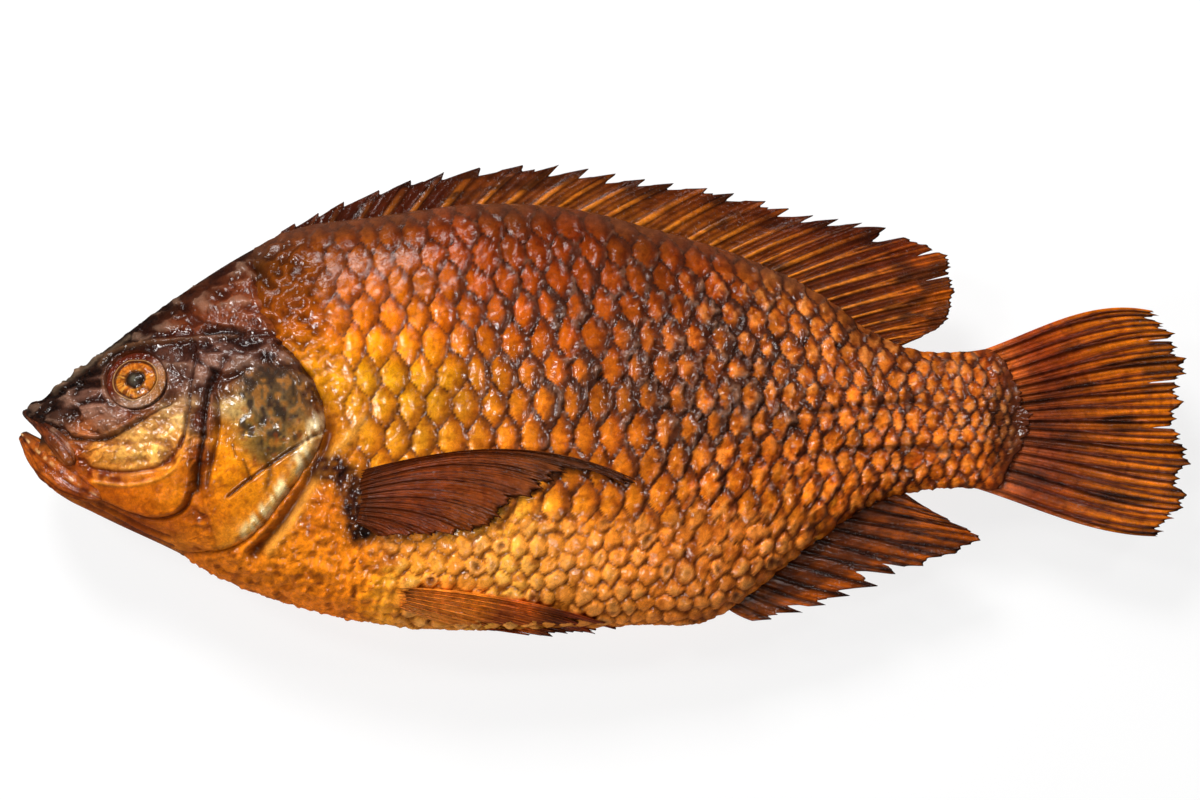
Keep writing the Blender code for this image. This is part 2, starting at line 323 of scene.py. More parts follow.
GIRTH_U = np.linspace(0, BODY_END, 258)
GIRTH_Q = np.linspace(-1, 1, 201)


def girth_table():
    """Arc length round the flank from the widest line, at each place of the table."""
    v, h = girth_point(GIRTH_U[:, None], GIRTH_Q[None, :])
    steps = np.hypot(np.diff(v, axis=1), np.diff(h, axis=1))
    arc = np.concatenate([np.zeros((len(GIRTH_U), 1)), np.cumsum(steps, axis=1)], axis=1)
    return arc - arc[:, len(GIRTH_Q) // 2][:, None]


GIRTH_ARC = girth_table()


def arc_at(u, q):
    """Arc length from the widest line, read between the table's places."""
    x = np.clip(u / BODY_END * (len(GIRTH_U) - 1), 0, len(GIRTH_U) - 1.001)
    y = np.clip((q + 1) / 2 * (len(GIRTH_Q) - 1), 0, len(GIRTH_Q) - 1.001)
    i, j = x.astype(int), y.astype(int)
    a, b = x - i, y - j
    near = GIRTH_ARC[i, j] * (1 - b) + GIRTH_ARC[i, j + 1] * b
    far = GIRTH_ARC[i + 1, j] * (1 - b) + GIRTH_ARC[i + 1, j + 1] * b
    return near * (1 - a) + far * a


def place(u, v, h):
    """Points in metres from plan points and heights; nothing goes under the table top."""
    x = LOW.x + u * MM
    y = LOW.y + (v - PLAN_BELLY) * MM
    z = LOW.z + np.maximum(MIDDLE_HEIGHT + h, 0.0) * MM
    return np.stack(np.broadcast_arrays(x, y, z), axis=-1)


def normals_of(points):
    """Unit normals of a grid of points, from the differences along its rows and columns."""
    along = np.gradient(points, axis=0)
    across = np.gradient(points, axis=1)
    n = np.cross(along, across)
    return n / (np.linalg.norm(n, axis=-1, keepdims=True) + 1e-12)


# ---------------------------------------------------------------- meshes

def new_mesh(name, points, quads, extra=(), tint=None, marks=None, uv=None):
    """A mesh object from points (n, 3) in metres, quads (m, 4) and a few larger faces.

    tint is a colour for each point, marks are named values for each point, and uv is a place on
    the square of the bake for each corner of each face.
    """
    mesh = bpy.data.meshes.new(name)
    points = np.ascontiguousarray(points, np.float32)
    mesh.vertices.add(len(points))
    mesh.vertices.foreach_set("co", points.ravel())
    corners = np.concatenate([quads.ravel()] + [np.asarray(e) for e in extra]).astype(np.int32)
    sizes = np.concatenate([np.full(len(quads), 4), [len(e) for e in extra]]).astype(np.int32)
    starts = np.concatenate([[0], np.cumsum(sizes)[:-1]]).astype(np.int32)
    mesh.loops.add(len(corners))
    mesh.loops.foreach_set("vertex_index", corners)
    mesh.polygons.add(len(sizes))
    mesh.polygons.foreach_set("loop_start", starts)
    flat = np.arange(len(sizes)) >= len(quads)
    mesh.polygons.foreach_set("use_smooth", ~flat)
    if uv is not None:
        layer = mesh.uv_layers.new(name="OFBake")
        layer.data.foreach_set("uv", np.asarray(uv, np.float32).ravel())
    if tint is not None:
        layer = mesh.attributes.new("tint", "FLOAT_COLOR", "POINT")
        rgba = np.concatenate([deepened(tint), np.ones((len(tint), 1))], axis=1)
        layer.data.foreach_set("color", rgba.astype(np.float32).ravel())
    for key, values in (marks or {}).items():
        layer = mesh.attributes.new(key, "FLOAT", "POINT")
        layer.data.foreach_set("value", np.asarray(values, np.float32).ravel())
    mesh.update()
    mesh.validate()
    thing = bpy.data.objects.new(name, mesh)
    bpy.context.scene.collection.objects.link(thing)
    return thing


def faces_inwards(points, quads):
    """True where a closed shape's quads, summed as a volume about its middle, face inwards."""
    a, b, c, d = (points[quads[:, k]] - points.mean(axis=0) for k in range(4))
    return float((a * np.cross(b, c)).sum() + (a * np.cross(c, d)).sum()) < 0


def grid_quads(index):
    """Quads between neighbouring rows and columns of a grid of point numbers."""
    corners = index[:-1, :-1], index[1:, :-1], index[1:, 1:], index[:-1, 1:]
    return np.stack(corners, axis=-1).reshape(-1, 4)


def numbered(rows, columns):
    """A grid that holds the number of each of its points."""
    return np.arange(rows * columns).reshape(rows, columns)


def wrapped(thing, material):
    """The piece with its one material, riding on the fish's only body."""
    thing.data.materials.append(material)
    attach(thing, "root")
    return thing


BAKE_LOW = 0.003
BAKE_HIGH = 0.997


def bake_grid(rows, columns, top):
    """A place on the bake's square for each point of a grid, its columns spread up to the top."""
    down = np.linspace(BAKE_LOW, BAKE_HIGH, rows)
    across = np.linspace(BAKE_LOW, top, columns)
    return np.stack(np.meshgrid(down, across, indexing="ij"), -1).reshape(-1, 2)


def half_skin(name, u, v, h, side, tint, marks, material):
    """One half of a skin: a grid whose rim lies in the middle plane, closed there by flat faces.

    Quads join the two ridges along most of the length; a polygon at each end takes in the curved
    end row. The closing faces have a strip of the bake of their own, beside the grid's square.
    """
    rows, columns = u.shape
    first, last = rows // 6, rows - 6
    points = place(u, v, side * h).reshape(-1, 3)
    index = numbered(rows, columns)
    low, high = index[first:last + 1, 0], index[first:last + 1, -1]
    middle = np.stack([low[:-1], low[1:], high[1:], high[:-1]], axis=-1)
    front = np.concatenate([index[:first + 1, 0], index[first::-1, -1], index[0, -2:0:-1]])
    rear = np.concatenate([index[last:, 0], index[-1, 1:-1], index[:last - 1:-1, -1]])
    if side > 0:
        middle, front, rear = middle[:, ::-1], front[::-1], rear[::-1]
    skin = grid_quads(index)
    quads = np.concatenate([skin[:, ::-1] if side < 0 else skin, middle])

    grid_uv = bake_grid(rows, columns, 0.984)[quads[:-len(middle)].ravel()]
    steps = BAKE_LOW + 0.95 * np.linspace(0, 1, len(middle) + 1)
    strip = np.stack([steps[:-1], steps[1:], steps[1:], steps[:-1]], axis=-1)
    strip = np.stack([strip, np.broadcast_to([0.988, 0.988, 0.997, 0.997], strip.shape)], axis=-1)
    strip = strip[:, ::-1] if side > 0 else strip
    ends = []
    for loop, centre in ((front, 0.965), (rear, 0.985)):
        turn = np.linspace(0, 2 * math.pi, len(loop), endpoint=False)
        ends.append(np.stack([centre + 0.006 * np.cos(turn), 0.992 + 0.004 * np.sin(turn)], axis=-1))
    uv = np.concatenate([grid_uv, strip.reshape(-1, 2)] + ends)
    marks = {key: value.ravel() for key, value in marks.items()}
    return wrapped(new_mesh(name, points, quads, [front, rear], tint.reshape(-1, 3), marks, uv), material)


# ---------------------------------------------------------------- scales

def shingles(column, row, span, reach, seed):
    """Overlapping scales with pointed round free edges, the foremost on top.

    Scales sit at whole columns, half a column along in every other row. Gives the distance in
    front of the visible scale's free edge (in columns), the offset from its middle row, and
    its own two chances.
    """
    best = np.full(column.shape, np.inf)
    ahead, across = np.zeros_like(column), np.zeros_like(column)
    luck, luck2 = np.zeros_like(column), np.zeros_like(column)
    for k in (0, -1, 1):
        line = np.round(row) + k
        off = row - line
        shift = 0.5 * (np.abs(line) % 2)
        edge = reach * (1 - (np.abs(off) / span) ** 1.55)
        number = np.ceil(column - shift - edge)
        own = chance(number, line, seed)
        centre = number + shift
        top = (np.abs(off) < span) & (centre < best)
        best = np.where(top, centre, best)
        ahead = np.where(top, centre + edge - column, ahead)
        across = np.where(top, off, across)
        luck = np.where(top, own, luck)
        luck2 = np.where(top, chance(number, line, seed + 7), luck2)
    return ahead, across, luck, luck2


def lattice(u, arc):
    """Scale columns and rows at places on the flank, counted by the pitch there, a little uneven."""
    along = np.linspace(0, BODY_END, 600)
    counted = np.concatenate([[0], np.cumsum(np.diff(along) / smooth(PITCH_ALONG, along[1:]))])
    column = np.interp(u, along, counted) + 0.00042 * (arc - 4) ** 2 * ramp(60, 110, u)
    row = arc / smooth(PITCH_ACROSS, u)
    uneven = 0.12 + 0.10 * ramp(180, 220, u)
    moved_column = column + uneven * swell(column * 0.9, row * 0.9, 3)
    moved_row = row + uneven * swell(column * 0.9 + 9, row * 0.9, 4)
    return moved_column, moved_row


# ---------------------------------------------------------------- the trunk's skin

# Grid of points along and round one flank, and the first seed of each side's noise
TRUNK_GRID = (407, 217)
TRUNK_SEED = {1: 100, -1: 400}

# Half the rows that a scale spans, and the pitch of the belly's pebbles, mm
SCALE_SPAN = 0.84
PEBBLE_PITCH = (4.6, 4.5)

GILL_GAP = (
    (77.5, 9), (79.3, 1), (78.4, -7), (75.2, -14.5), (71.3, -21.0), (66.5, -27.8), (60.5, -34.2),
)
SHOULDER_RIDGE = (
    (88, 0.2), (84.3, -4.7), (80.6, -8.4), (77.6, -13.0), (74.3, -18.5), (69.8, -26.0), (64, -33.5),
)
FIN_JOINT = ((78.0, -12.4), (81.8, -13.0), (85.0, -16.4), (86.4, -21.5), (87.6, -28.0))

FLANK_TINTS = (
    (74, 44, 9, (112, 58, 34)), (95, 51, 7, (108, 60, 38)), (125, 55, 7, (104, 60, 42)),
    (160, 48, 7, (106, 60, 40)), (195, 37, 6, (112, 64, 40)), (220, 21, 5, (126, 66, 36)),
    (86, 34, 10, (186, 88, 22)), (112, 44, 9, (150, 66, 22)), (140, 45, 9, (134, 58, 22)),
    (170, 38, 9, (140, 64, 26)), (100, 24, 10, (206, 108, 24)), (122, 26, 10, (178, 86, 24)),
    (146, 24, 10, (168, 82, 28)), (172, 22, 10, (156, 78, 30)), (198, 24, 9, (166, 88, 38)),
    (86, 8, 9, (212, 128, 34)), (104, 4, 9, (216, 136, 40)), (122, 4, 10, (196, 106, 30)),
    (148, 2, 10, (174, 88, 26)), (172, 0, 10, (166, 82, 26)), (196, 0, 9, (160, 80, 26)),
    (218, 4, 8, (166, 84, 28)), (240, 8, 8, (162, 82, 28)), (236, -6, 7, (166, 84, 26)),
    (242, -14, 6, (176, 88, 22)), (214, -14, 8, (170, 86, 24)), (86, -12, 7, (208, 124, 26)),
    (84, -30, 9, (200, 106, 22)), (70, -38, 9, (194, 100, 22)), (58, -40, 7, (188, 96, 26)),
    (106, -36, 9, (214, 132, 38)), (128, -38, 10, (222, 146, 54)), (150, -36, 10, (206, 122, 36)),
    (172, -34, 10, (186, 100, 26)), (190, -28, 9, (176, 92, 22)), (150, -18, 9, (182, 94, 24)),
    (176, -16, 9, (178, 92, 26)), (110, -50, 7, (206, 128, 44)), (150, -50, 7, (196, 112, 32)),
    (178, -48, 6, (184, 98, 26)), (257, 1, 4.5, (92, 50, 38)), (257, -9, 4, (84, 42, 32)),
    (256, 11, 4, (112, 48, 26)), (251, -15, 3.5, (150, 64, 20)), (251, 16, 3.5, (146, 62, 22)),
)


def flank_patterns(u, v, along, arc, seed):
    """The patterns of the flank at each point: its scale, its pebble, its crinkles and its zones.

    u and v are where a point is seen in plan, along and arc its own place on the skin. A scale is
    a pillow that rises to its free edge, a pebble is a dome, and a zone is a share from 0 to 1.
    """
    f = SimpleNamespace()
    column, row = lattice(along, arc)
    f.ahead, across, f.luck, f.luck2 = shingles(column, row, SCALE_SPAN, 0.56, seed)
    small_column = along / PEBBLE_PITCH[0] + 0.25 * swell(along * 0.25, arc * 0.25, seed + 20)
    small_row = arc / PEBBLE_PITCH[1] + 0.25 * swell(along * 0.25, arc * 0.25 + 7, seed + 21)
    f.ahead_b, across_b, f.luck_b, _ = shingles(small_column, small_row, 0.95, 0.62, seed + 30)

    first_scales = 84 - 0.16 * v - 0.0022 * v * np.abs(v)
    f.scaled = ramp(-5, 6, u - first_scales + 3 * drift(u * 0.15, v * 0.15, seed + 2))
    f.pebbled = ramp(-19, -33, v + 4 * drift(u * 0.08, v * 0.1, seed + 3)) * ramp(212, 190, u)
    f.to_tail = ramp(196, 240, u)
    f.rear = ramp(140, 190, u) * ramp(46, 30, v)
    f.shoulder = ramp(114, 94, u) * ramp(4, 16, v)
    f.to_back = smooth(BACK_OUTLINE, u) - v
    f.nape = ramp(4, 16, v + 0.4 * (84 - u)) * ramp(96, 82, u)

    f.crusted = 0.16 + 0.84 * hill(u, v, (164, 14), (50, 24), -12) + 0.25 * f.to_tail
    f.crusted = np.clip(f.crusted - 0.5 * hill(u, v, (98, 2), (20, 18)), 0.08, 1)
    crown = np.clip(1 - (across / SCALE_SPAN) ** 2, 0, 1)
    f.pillow = crown**0.6 * np.clip(4 * f.ahead * (1.03 - f.ahead), 0, 1) ** 0.4
    f.folds = crumple(along / 1.5, arc / 2.6, seed + 80)
    f.from_middle = ((f.ahead_b - 0.5) / 0.52) ** 2 + (across_b / 0.66) ** 2
    f.dome = np.sqrt(np.clip(1 - f.from_middle, 0, 1))
    f.hollow = ramp(0.74, 0.9, f.luck_b) * np.exp(-(((f.ahead_b - 0.45) / 0.22) ** 2) - (across_b / 0.3) ** 2)
    f.wrinkle = creases(along / 2.6, arc / 2.4, seed + 5)
    f.fine = creases(along / 1.3, arc / 1.7, seed + 9)
    f.foil = crumple(along / 2.7, arc / 2.2, 900)

    # Behind the head: the gill opening, the shoulder's ridge and the breast fin's root and joint
    f.inside = lobe_reach(HEAD_CENTRE, HEAD_EDGE, u, v)
    f.free = ramp(22, 13, v)
    f.gap = near_line(u, v, GILL_GAP, 1.7)
    f.ridge = near_line(u, v, SHOULDER_RIDGE, 1.5)
    f.root_lobe = hill(u, v, (80.6, -22.0), (5.2, 7.5), -12)
    f.joint = near_line(u, v, FIN_JOINT, 3.1)

    # Two lengthwise grooves towards the tail
    bent_arc = arc + 0.9 * swell(u / 5.5, 0 * u, seed + 24)
    f.grooves = bell(bent_arc - 2.5 - 0.035 * (u - 200), 0.9) + bell(bent_arc + 8.0, 0.9)
    f.grooves = f.grooves * ramp(188, 208, u) * ramp(250, 238, u)
    return f


def flank_relief(u, v, arc, seed, f):
    """How far the skin stands out, mm: pillows on slopes, pebbles, crinkles, ridge and grooves."""
    slope = 0.75 - 0.35 * f.to_tail - 0.35 * ramp(22, 42, v)
    puffed = 0.85 - 0.45 * f.to_tail - 0.40 * ramp(20, 42, v)
    big = slope * (1 - f.ahead) * (0.5 + 0.5 * f.luck) + puffed * f.pillow * (0.7 + 0.6 * f.luck2)
    big = big + 0.35 * f.crusted * bell(f.ahead - 0.12, 0.14) * f.luck2
    rough = 0.30 + 0.25 * f.rear + 0.90 * f.crusted * ramp(0.6, 0.2, f.ahead)
    big = big + f.folds * rough * (1 - 0.3 * f.to_tail)
    big = big * (1 - 0.40 * f.shoulder)
    pebble = 0.35 * (1 - f.ahead_b) + 1.15 * f.dome * (0.45 + 0.75 * f.luck_b)
    pebble = pebble - 1.1 * f.hollow + 0.3 * f.folds
    skin = (0.5 * f.wrinkle + 0.3 * f.fine + 0.8 * f.folds) * (1 - f.nape) + 1.1 * f.foil * f.nape
    relief = big * (1 - f.pebbled) + pebble * f.pebbled
    relief = relief * f.scaled + skin * (1 - f.scaled)
    relief = relief + 0.13 * (f.fine - 0.5) * f.scaled + 0.25 * drift(u / 14, arc / 14, seed + 11)
    relief = relief * (1 - 0.8 * np.maximum(f.gap, 0.7 * f.ridge))
    relief = relief - 2.4 * f.gap * ramp(12, -6, v) + 0.9 * f.ridge
    relief = relief * (1 - 0.5 * f.joint) + 1.5 * f.root_lobe + (1.1 + 0.8 * f.folds) * f.joint
    return relief - 0.7 * f.grooves


def sunk_under_head(f):
    """How deep the flank dips under the head's skin, mm: at the free edge, and more gently above."""
    return f.free * 3.4 * ramp(-0.6, 2.6, f.inside) + (1 - f.free) * 2.6 * ramp(-1, 6, f.inside)


def flank_ground(u, v, arc, seed, f):
    """The colour under the scales: a field over the flank, deepened and shifted zone by zone."""
    tint = blended(u, v, FLANK_TINTS)
    tint = tint * (1 + 0.30 * (f.luck - 0.5) * f.scaled + 0.22 * drift(u / 9, arc / 9, seed + 12))[..., None]
    depth = 0.68 + 0.25 * hill(u, v, (84, 18), (20, 12)) + 0.20 * ramp(36, 12, v)
    depth = depth + 0.28 * ramp(12, -20, v) + 0.55 * ramp(-16, -40, v)
    depth = depth * (1 + 0.42 * ramp(155, 215, u)) * (1 - 0.25 * ramp(9, 1, f.to_back))
    depth = depth * (1 - 0.33 * hill(u, v, (98, 0), (26, 16)) - 0.10 * hill(u, v, (160, -14), (36, 14)))
    depth = depth * (1 - 0.14 * hill(u, v, (200, -22), (26, 16)))
    tint = tint * depth[..., None]
    beside_head = ramp(-16, 0, f.inside) * (1 - f.free) * ramp(16, 3, f.to_back)
    tint = mixed(tint, colour(62, 34, 26), 0.75 * beside_head)
    tint = shifted(tint, (0.90, 1.12, 0.9), hill(u, v, (66, -34), (28, 14), -10))
    tint = shifted(tint, (1.06, 1.30, 0.55), ramp(135, 95, u) * ramp(-2, 12, v) * ramp(50, 38, v))
    tint = shifted(tint, (1.06, 0.98, 0.90), ramp(24, 34, v) * ramp(90, 120, u))
    tint = shifted(tint, (1.0, 0.84, 0.40), ramp(4, 26, v) * ramp(215, 180, u))
    return tint


def flank_tint(u, v, arc, seed, f):
    """Colour and crust: each pillow is golden with painted light on its crown, crusted at its free edge, and
    darkened in its valleys and gaps as painted shade.
    """
    tint = flank_ground(u, v, arc, seed, f)
    ragged = 0.16 * f.folds + 0.10 * drift(u / 1.7, arc / 2.3, seed + 14)
    width = 0.15 + 0.66 * f.crusted * (0.35 + f.luck2)
    crust = ramp(width, width * 0.35, f.ahead + ragged) * np.clip(0.35 + 1.1 * f.crusted, 0, 1)
    around = 1 - f.pillow - 0.5 * ragged
    net = ramp(0.42 + 0.12 * f.shoulder, 0.86, around) * 0.92
    gold_and_lit_crown = ramp(0.45, 0.95, f.pillow - 0.5 * ragged) * ramp(0.15, 0.55, f.ahead)
    ember = ramp(0.9, 0.2, f.ahead + ragged) * (0.35 + 0.4 * f.luck)
    seam_b = ramp(0.72, 1.08, f.from_middle)
    crust = crust * (1 - f.pebbled) * f.scaled
    blotched = drift(u / 4.4, arc / 4.4, seed + 22)
    tint = tint * (1 + 0.10 * f.rear + 0.42 * f.rear * blotched)[..., None]
    # Painted shade between the scales, in the seams between pebbles and in the pebbles' dents
    net = (net * (1 - f.pebbled) + (0.6 * seam_b + f.hollow) * f.pebbled) * f.scaled
    valley = ramp(0.34, 0.05, f.wrinkle) * (1 - f.nape) + ramp(0.12, -0.35, f.foil) * f.nape
    valley = valley * (1 - f.scaled)
    # Painted light, partly the scales' own amber: each pillow's raised crown made brighter and more golden
    tint = shifted(tint, (1.5, 1.78, 1.3), 0.8 * gold_and_lit_crown * f.scaled * (1 - f.pebbled))
    tint = shifted(tint, (0.66, 0.50, 0.38), ember * f.scaled * (1 - f.pebbled))
    # Painted highlight, partly paler pebbles: the tops of the belly's pebble domes made paler and brighter
    tint = shifted(tint, (1.32, 1.30, 2.4), f.pebbled * f.scaled * ramp(0.45, 0.9, f.dome) * f.luck_b)
    tint = mixed(tint, colour(220, 134, 66), 0.40 * f.pebbled * f.scaled)
    pale_and_lit_dome_tops = f.pebbled * f.scaled * ramp(0.6, 1.0, f.dome) * ramp(0.3, 0.9, f.luck_b)
    tint = mixed(tint, colour(246, 182, 112), 0.5 * pale_and_lit_dome_tops)
    # Pale cream on the fold crests and pillow tops towards the tail: partly paler dried skin, partly painted
    # highlight
    cream_and_lit_crests = ramp(0.0, 0.45, f.folds + 0.3 * blotched) * ramp(0.3, 0.8, f.pillow) * (0.3 + 0.7 * f.luck2)
    tint = mixed(tint, colour(226, 150, 92), 0.50 * f.rear * cream_and_lit_crests * f.scaled)
    # Painted shade: the valleys of the folds towards the tail darkened
    fold_valley_shade = ramp(0.05, -0.45, f.folds + 0.6 * swell(u / 1.9, arc / 2.3, seed + 23))
    tint = shifted(tint, (0.42, 0.27, 0.20), 0.62 * f.rear * fold_valley_shade * f.scaled)
    dots = ramp(0.25, 0.65, swell(u / 0.95, arc / 0.95, seed + 17)) * ramp(0.75, 0.2, f.pebbled)
    tint = shifted(tint, (0.58, 0.42, 0.35), 0.6 * dots)
    # Painted shade: the gaps between scales and pebbles and the valleys of the creases darkened
    tint = shifted(tint, (0.24, 0.17, 0.15), np.clip(net + 0.7 * valley, 0, 1))
    tint = mixed(tint, colour(60, 34, 28), crust * (0.55 + 0.4 * f.luck2))
    # Painted highlight: pinkish-grey glints on the crust's fold crests
    tint = mixed(tint, colour(140, 100, 88), 0.5 * crust * ramp(0.10, 0.35, f.folds))
    tint = mixed(tint, colour(100, 64, 54), 0.55 * ramp(7, 0.5, f.to_back) * ramp(220, 195, u))
    pits = ramp(0.42, 0.7, swell(u / 2.2, arc / 2.2, seed + 16)) * ramp(-8, -26, v) * 0.55
    tint = mixed(tint, colour(120, 48, 12), pits)

    # Behind the head and along the grooves
    # Painted shadow in the groove of the gill opening
    tint = mixed(tint, colour(84, 30, 8), 0.85 * f.gap * ramp(10, -4, v))
    tint = mixed(tint, colour(236, 168, 84), 0.5 * f.ridge)
    # Painted shadow on the flank under the gill cover's free edge
    tint = mixed(tint, colour(52, 14, 4), ramp(-0.4, 1.6, f.inside) * f.free)
    tint = mixed(tint, colour(206, 112, 26), 0.6 * f.root_lobe)
    charred = np.clip(1.9 * f.joint, 0, 1) * (0.92 + 0.25 * swell(u * 0.8, v * 0.8, seed + 18))
    tint = mixed(tint, colour(58, 26, 20), charred)
    # Painted shadow: a near-black spot at the lower end of the breast fin's joint
    tint = mixed(tint, colour(16, 5, 3), hill(u, v, (88.6, -29.2), (2.4, 1.6)))
    tint = mixed(tint, colour(66, 34, 26), 0.6 * f.grooves)
    return tint, np.clip(crust + 0.4 * net, 0, 1)


def trunk(side, name, material):
    """One flank from under the gill cover to the tail's root, a grid pushed out by the scales."""
    seed = TRUNK_SEED[side]
    q = np.linspace(-1, 1, TRUNK_GRID[1])[None, :]
    along = np.linspace(0, 1, TRUNK_GRID[0])[:, None]
    start = 38 + 16 * ramp(-1.0, -0.2, q) - 6 * ramp(0.2, 1, q)
    ragged_end = 1.6 * swell(q * 7, 0 * q, seed + 60) + 0.8 * swell(q * 21, 0 * q, seed + 61)
    end = BODY_END - 9.0 + (11.5 + ragged_end) * np.cos(q * math.pi / 2) ** 0.6
    u = start + (end - start) * along
    v, h = girth_point(u, q)
    h = h * (1 - 0.7 * ramp(246, 261, u))
    if side < 0:
        h = pressed(h)
    base = np.stack([u + 0 * v, v, h], axis=-1)
    seen_u, seen_v = seen(u, v, h)
    arc = arc_at(u, q + 0 * u)
    patterns = flank_patterns(seen_u, seen_v, u, arc, seed)
    relief = flank_relief(seen_u, seen_v, arc, seed, patterns)
    tint, crust = flank_tint(seen_u, seen_v, arc, seed, patterns)
    frayed = ramp(5.5, 1.0, end - u + 1.2 * drift(u / 1.6, v / 1.6, seed + 62))
    tint = mixed(tint, colour(96, 44, 24), 0.75 * frayed)
    marks = {"crust": crust * ramp(0.0, 5.0, end - u)}
    if side < 0:
        relief = relief * (1 - 0.45 * ramp(16, 19.4, h))
    relief = relief * ramp(1.0, 0.93, np.abs(q)) * (0.25 + 0.75 * ramp(0, 9, end - u))
    relief = relief - sunk_under_head(patterns)
    pushed = base + normals_of(base) * relief[..., None]
    u, v, h = pushed[..., 0], pushed[..., 1], np.maximum(pushed[..., 2], 0)
    h[:, 0] = h[:, -1] = 0
    u = np.concatenate([u[:1] - 0.2, u, u[-1:] + 0.3 + 0.2 * np.cos(q * math.pi / 2)])
    v = np.concatenate([v[:1], v, v[-1:]])
    h = np.concatenate([0 * h[:1], h, 0 * h[-1:]])
    tint = np.concatenate([tint[:1], tint, tint[-1:]])
    marks = {k: np.concatenate([m[:1], m, m[-1:]]) for k, m in marks.items()}
    return half_skin(name, u, v, h, side, tint, marks, material)


# ---------------------------------------------------------------- materials

def add_node(tree, kind, inputs=None, **settings):
    """A node with its settings made, each socket given a value or another node's output."""
    node = tree.nodes.new(kind)
    for key, value in settings.items():
        setattr(node, key, value)
    for key, value in (inputs or {}).items():
        if isinstance(value, bpy.types.NodeSocket):
            tree.links.new(value, node.inputs[key])
        else:
            node.inputs[key].default_value = value
    return node


def new_group(name, takes, gives):
    """An empty shader group with named sockets, its input node and its output node."""
    tree = bpy.data.node_groups.new(name, "ShaderNodeTree")
    for label, kind in takes:
        tree.interface.new_socket(name=label, in_out="INPUT", socket_type=kind)
    for label, kind in gives:
        tree.interface.new_socket(name=label, in_out="OUTPUT", socket_type=kind)
    return tree, add_node(tree, "NodeGroupInput"), add_node(tree, "NodeGroupOutput")


def ranged(tree, value, low, high, to_low, to_high):
    """The value moved from one range to another and kept inside it."""
    moved = add_node(tree, "ShaderNodeMapRange", {0: value, 1: low, 2: high, 3: to_low, 4: to_high})
    return moved.outputs[0]


def computed(tree, operation, a, b):
    """Two values put together by a sum, product or the like."""
    return add_node(tree, "ShaderNodeMath", {0: a, 1: b}, operation=operation).outputs[0]


def toned(tree, share, a, b, blend="MIX"):
    """Two colours mixed by a share."""
    mix = add_node(tree, "ShaderNodeMix", {0: share, 6: a, 7: b}, data_type="RGBA", blend_type=blend)
    return mix.outputs[2]


def smoked_grain():
    """Fine crumple, soot specks, painted shade in the fine creases and the broken moist shine that all the
    smoked skins share.
    """
    tree, takes, gives = new_group(
        "smoked_grain",
        (("Position", "NodeSocketVector"), ("Tint", "NodeSocketColor"), ("Crust", "NodeSocketFloat"),
         ("Crumple", "NodeSocketFloat")),
        (("Colour", "NodeSocketColor"), ("Roughness", "NodeSocketFloat"), ("Height", "NodeSocketFloat")),
    )
    at, tint, crust, crumple = (takes.outputs[k] for k in ("Position", "Tint", "Crust", "Crumple"))
    mottle = add_node(tree, "ShaderNodeTexNoise", {"Vector": at, "Scale": 330.0, "Detail": 4.0}).outputs[0]
    warp = add_node(tree, "ShaderNodeTexNoise", {"Vector": at, "Scale": 500.0, "Detail": 2.0}).outputs[1]
    bent = add_node(tree, "ShaderNodeMix", {0: 0.003, 4: at, 5: warp}, data_type="VECTOR").outputs[1]
    folds = add_node(tree, "ShaderNodeTexNoise", {"Vector": bent, "Scale": 780.0, "Detail": 1.5}).outputs[0]
    ridge = computed(tree, "ABSOLUTE", computed(tree, "SUBTRACT", folds, 0.5), 0.0)
    sharp = ranged(tree, ridge, 0.0, 0.16, 0.0, 1.0)
    speck = add_node(tree, "ShaderNodeTexNoise", {"Vector": at, "Scale": 1500.0, "Detail": 3.0}).outputs[0]

    lit = ranged(tree, mottle, 0.3, 0.7, 0.78, 1.24)
    sooty = ranged(tree, speck, 0.56, 0.70, 0.0, 0.6)
    base = toned(tree, 1.0, tint, lit, "MULTIPLY")
    # Painted shade in the fine creases of the bump
    base = toned(tree, ranged(tree, sharp, 0.0, 0.5, 0.28, 0.0), base, (0.05, 0.012, 0.003, 1))
    base = toned(tree, computed(tree, "MULTIPLY", sooty, crust), base, (0.018, 0.008, 0.006, 1))
    tree.links.new(base, gives.inputs["Colour"])

    oily = ranged(tree, mottle, 0.35, 0.65, 0.11, 0.19)
    rough = computed(tree, "ADD", oily, ranged(tree, speck, 0.4, 0.7, 0.0, 0.04))
    rough = computed(tree, "ADD", rough, computed(tree, "MULTIPLY", crust, 0.05))
    tree.links.new(rough, gives.inputs["Roughness"])

    folded = computed(tree, "MULTIPLY", sharp, crumple)
    height = computed(tree, "ADD", folded, computed(tree, "MULTIPLY", speck, 0.06))
    height = computed(tree, "ADD", height, computed(tree, "MULTIPLY", mottle, 0.5))
    tree.links.new(height, gives.inputs["Height"])
    return tree


GRAIN = smoked_grain()


def skin_material(name, crumple, depth, gloss):
    """A smoked skin: the mesh's own tint under the grain, with an oily shine.

    crumple is the weight of the fine folds in the bump, depth the bump's distance in metres, and
    gloss the strength of the reflections.
    """
    material = bpy.data.materials.new(name)
    material.use_nodes = True
    tree = material.node_tree
    shader = tree.nodes["Principled BSDF"]
    at = add_node(tree, "ShaderNodeTexCoord").outputs["Object"]
    tint = add_node(tree, "ShaderNodeAttribute", attribute_name="tint").outputs["Color"]
    crust = add_node(tree, "ShaderNodeAttribute", attribute_name="crust").outputs["Fac"]
    grain = add_node(tree, "ShaderNodeGroup", node_tree=GRAIN)
    grain.inputs["Crumple"].default_value = crumple
    for socket, key in ((at, "Position"), (tint, "Tint"), (crust, "Crust")):
        tree.links.new(socket, grain.inputs[key])
    raised = {"Height": grain.outputs["Height"], "Distance": depth, "Strength": 1.0}
    bump = add_node(tree, "ShaderNodeBump", raised)
    tree.links.new(grain.outputs["Colour"], shader.inputs["Base Color"])
    tree.links.new(grain.outputs["Roughness"], shader.inputs["Roughness"])
    tree.links.new(bump.outputs["Normal"], shader.inputs["Normal"])
    shader.inputs["Specular IOR Level"].default_value = gloss
    return material
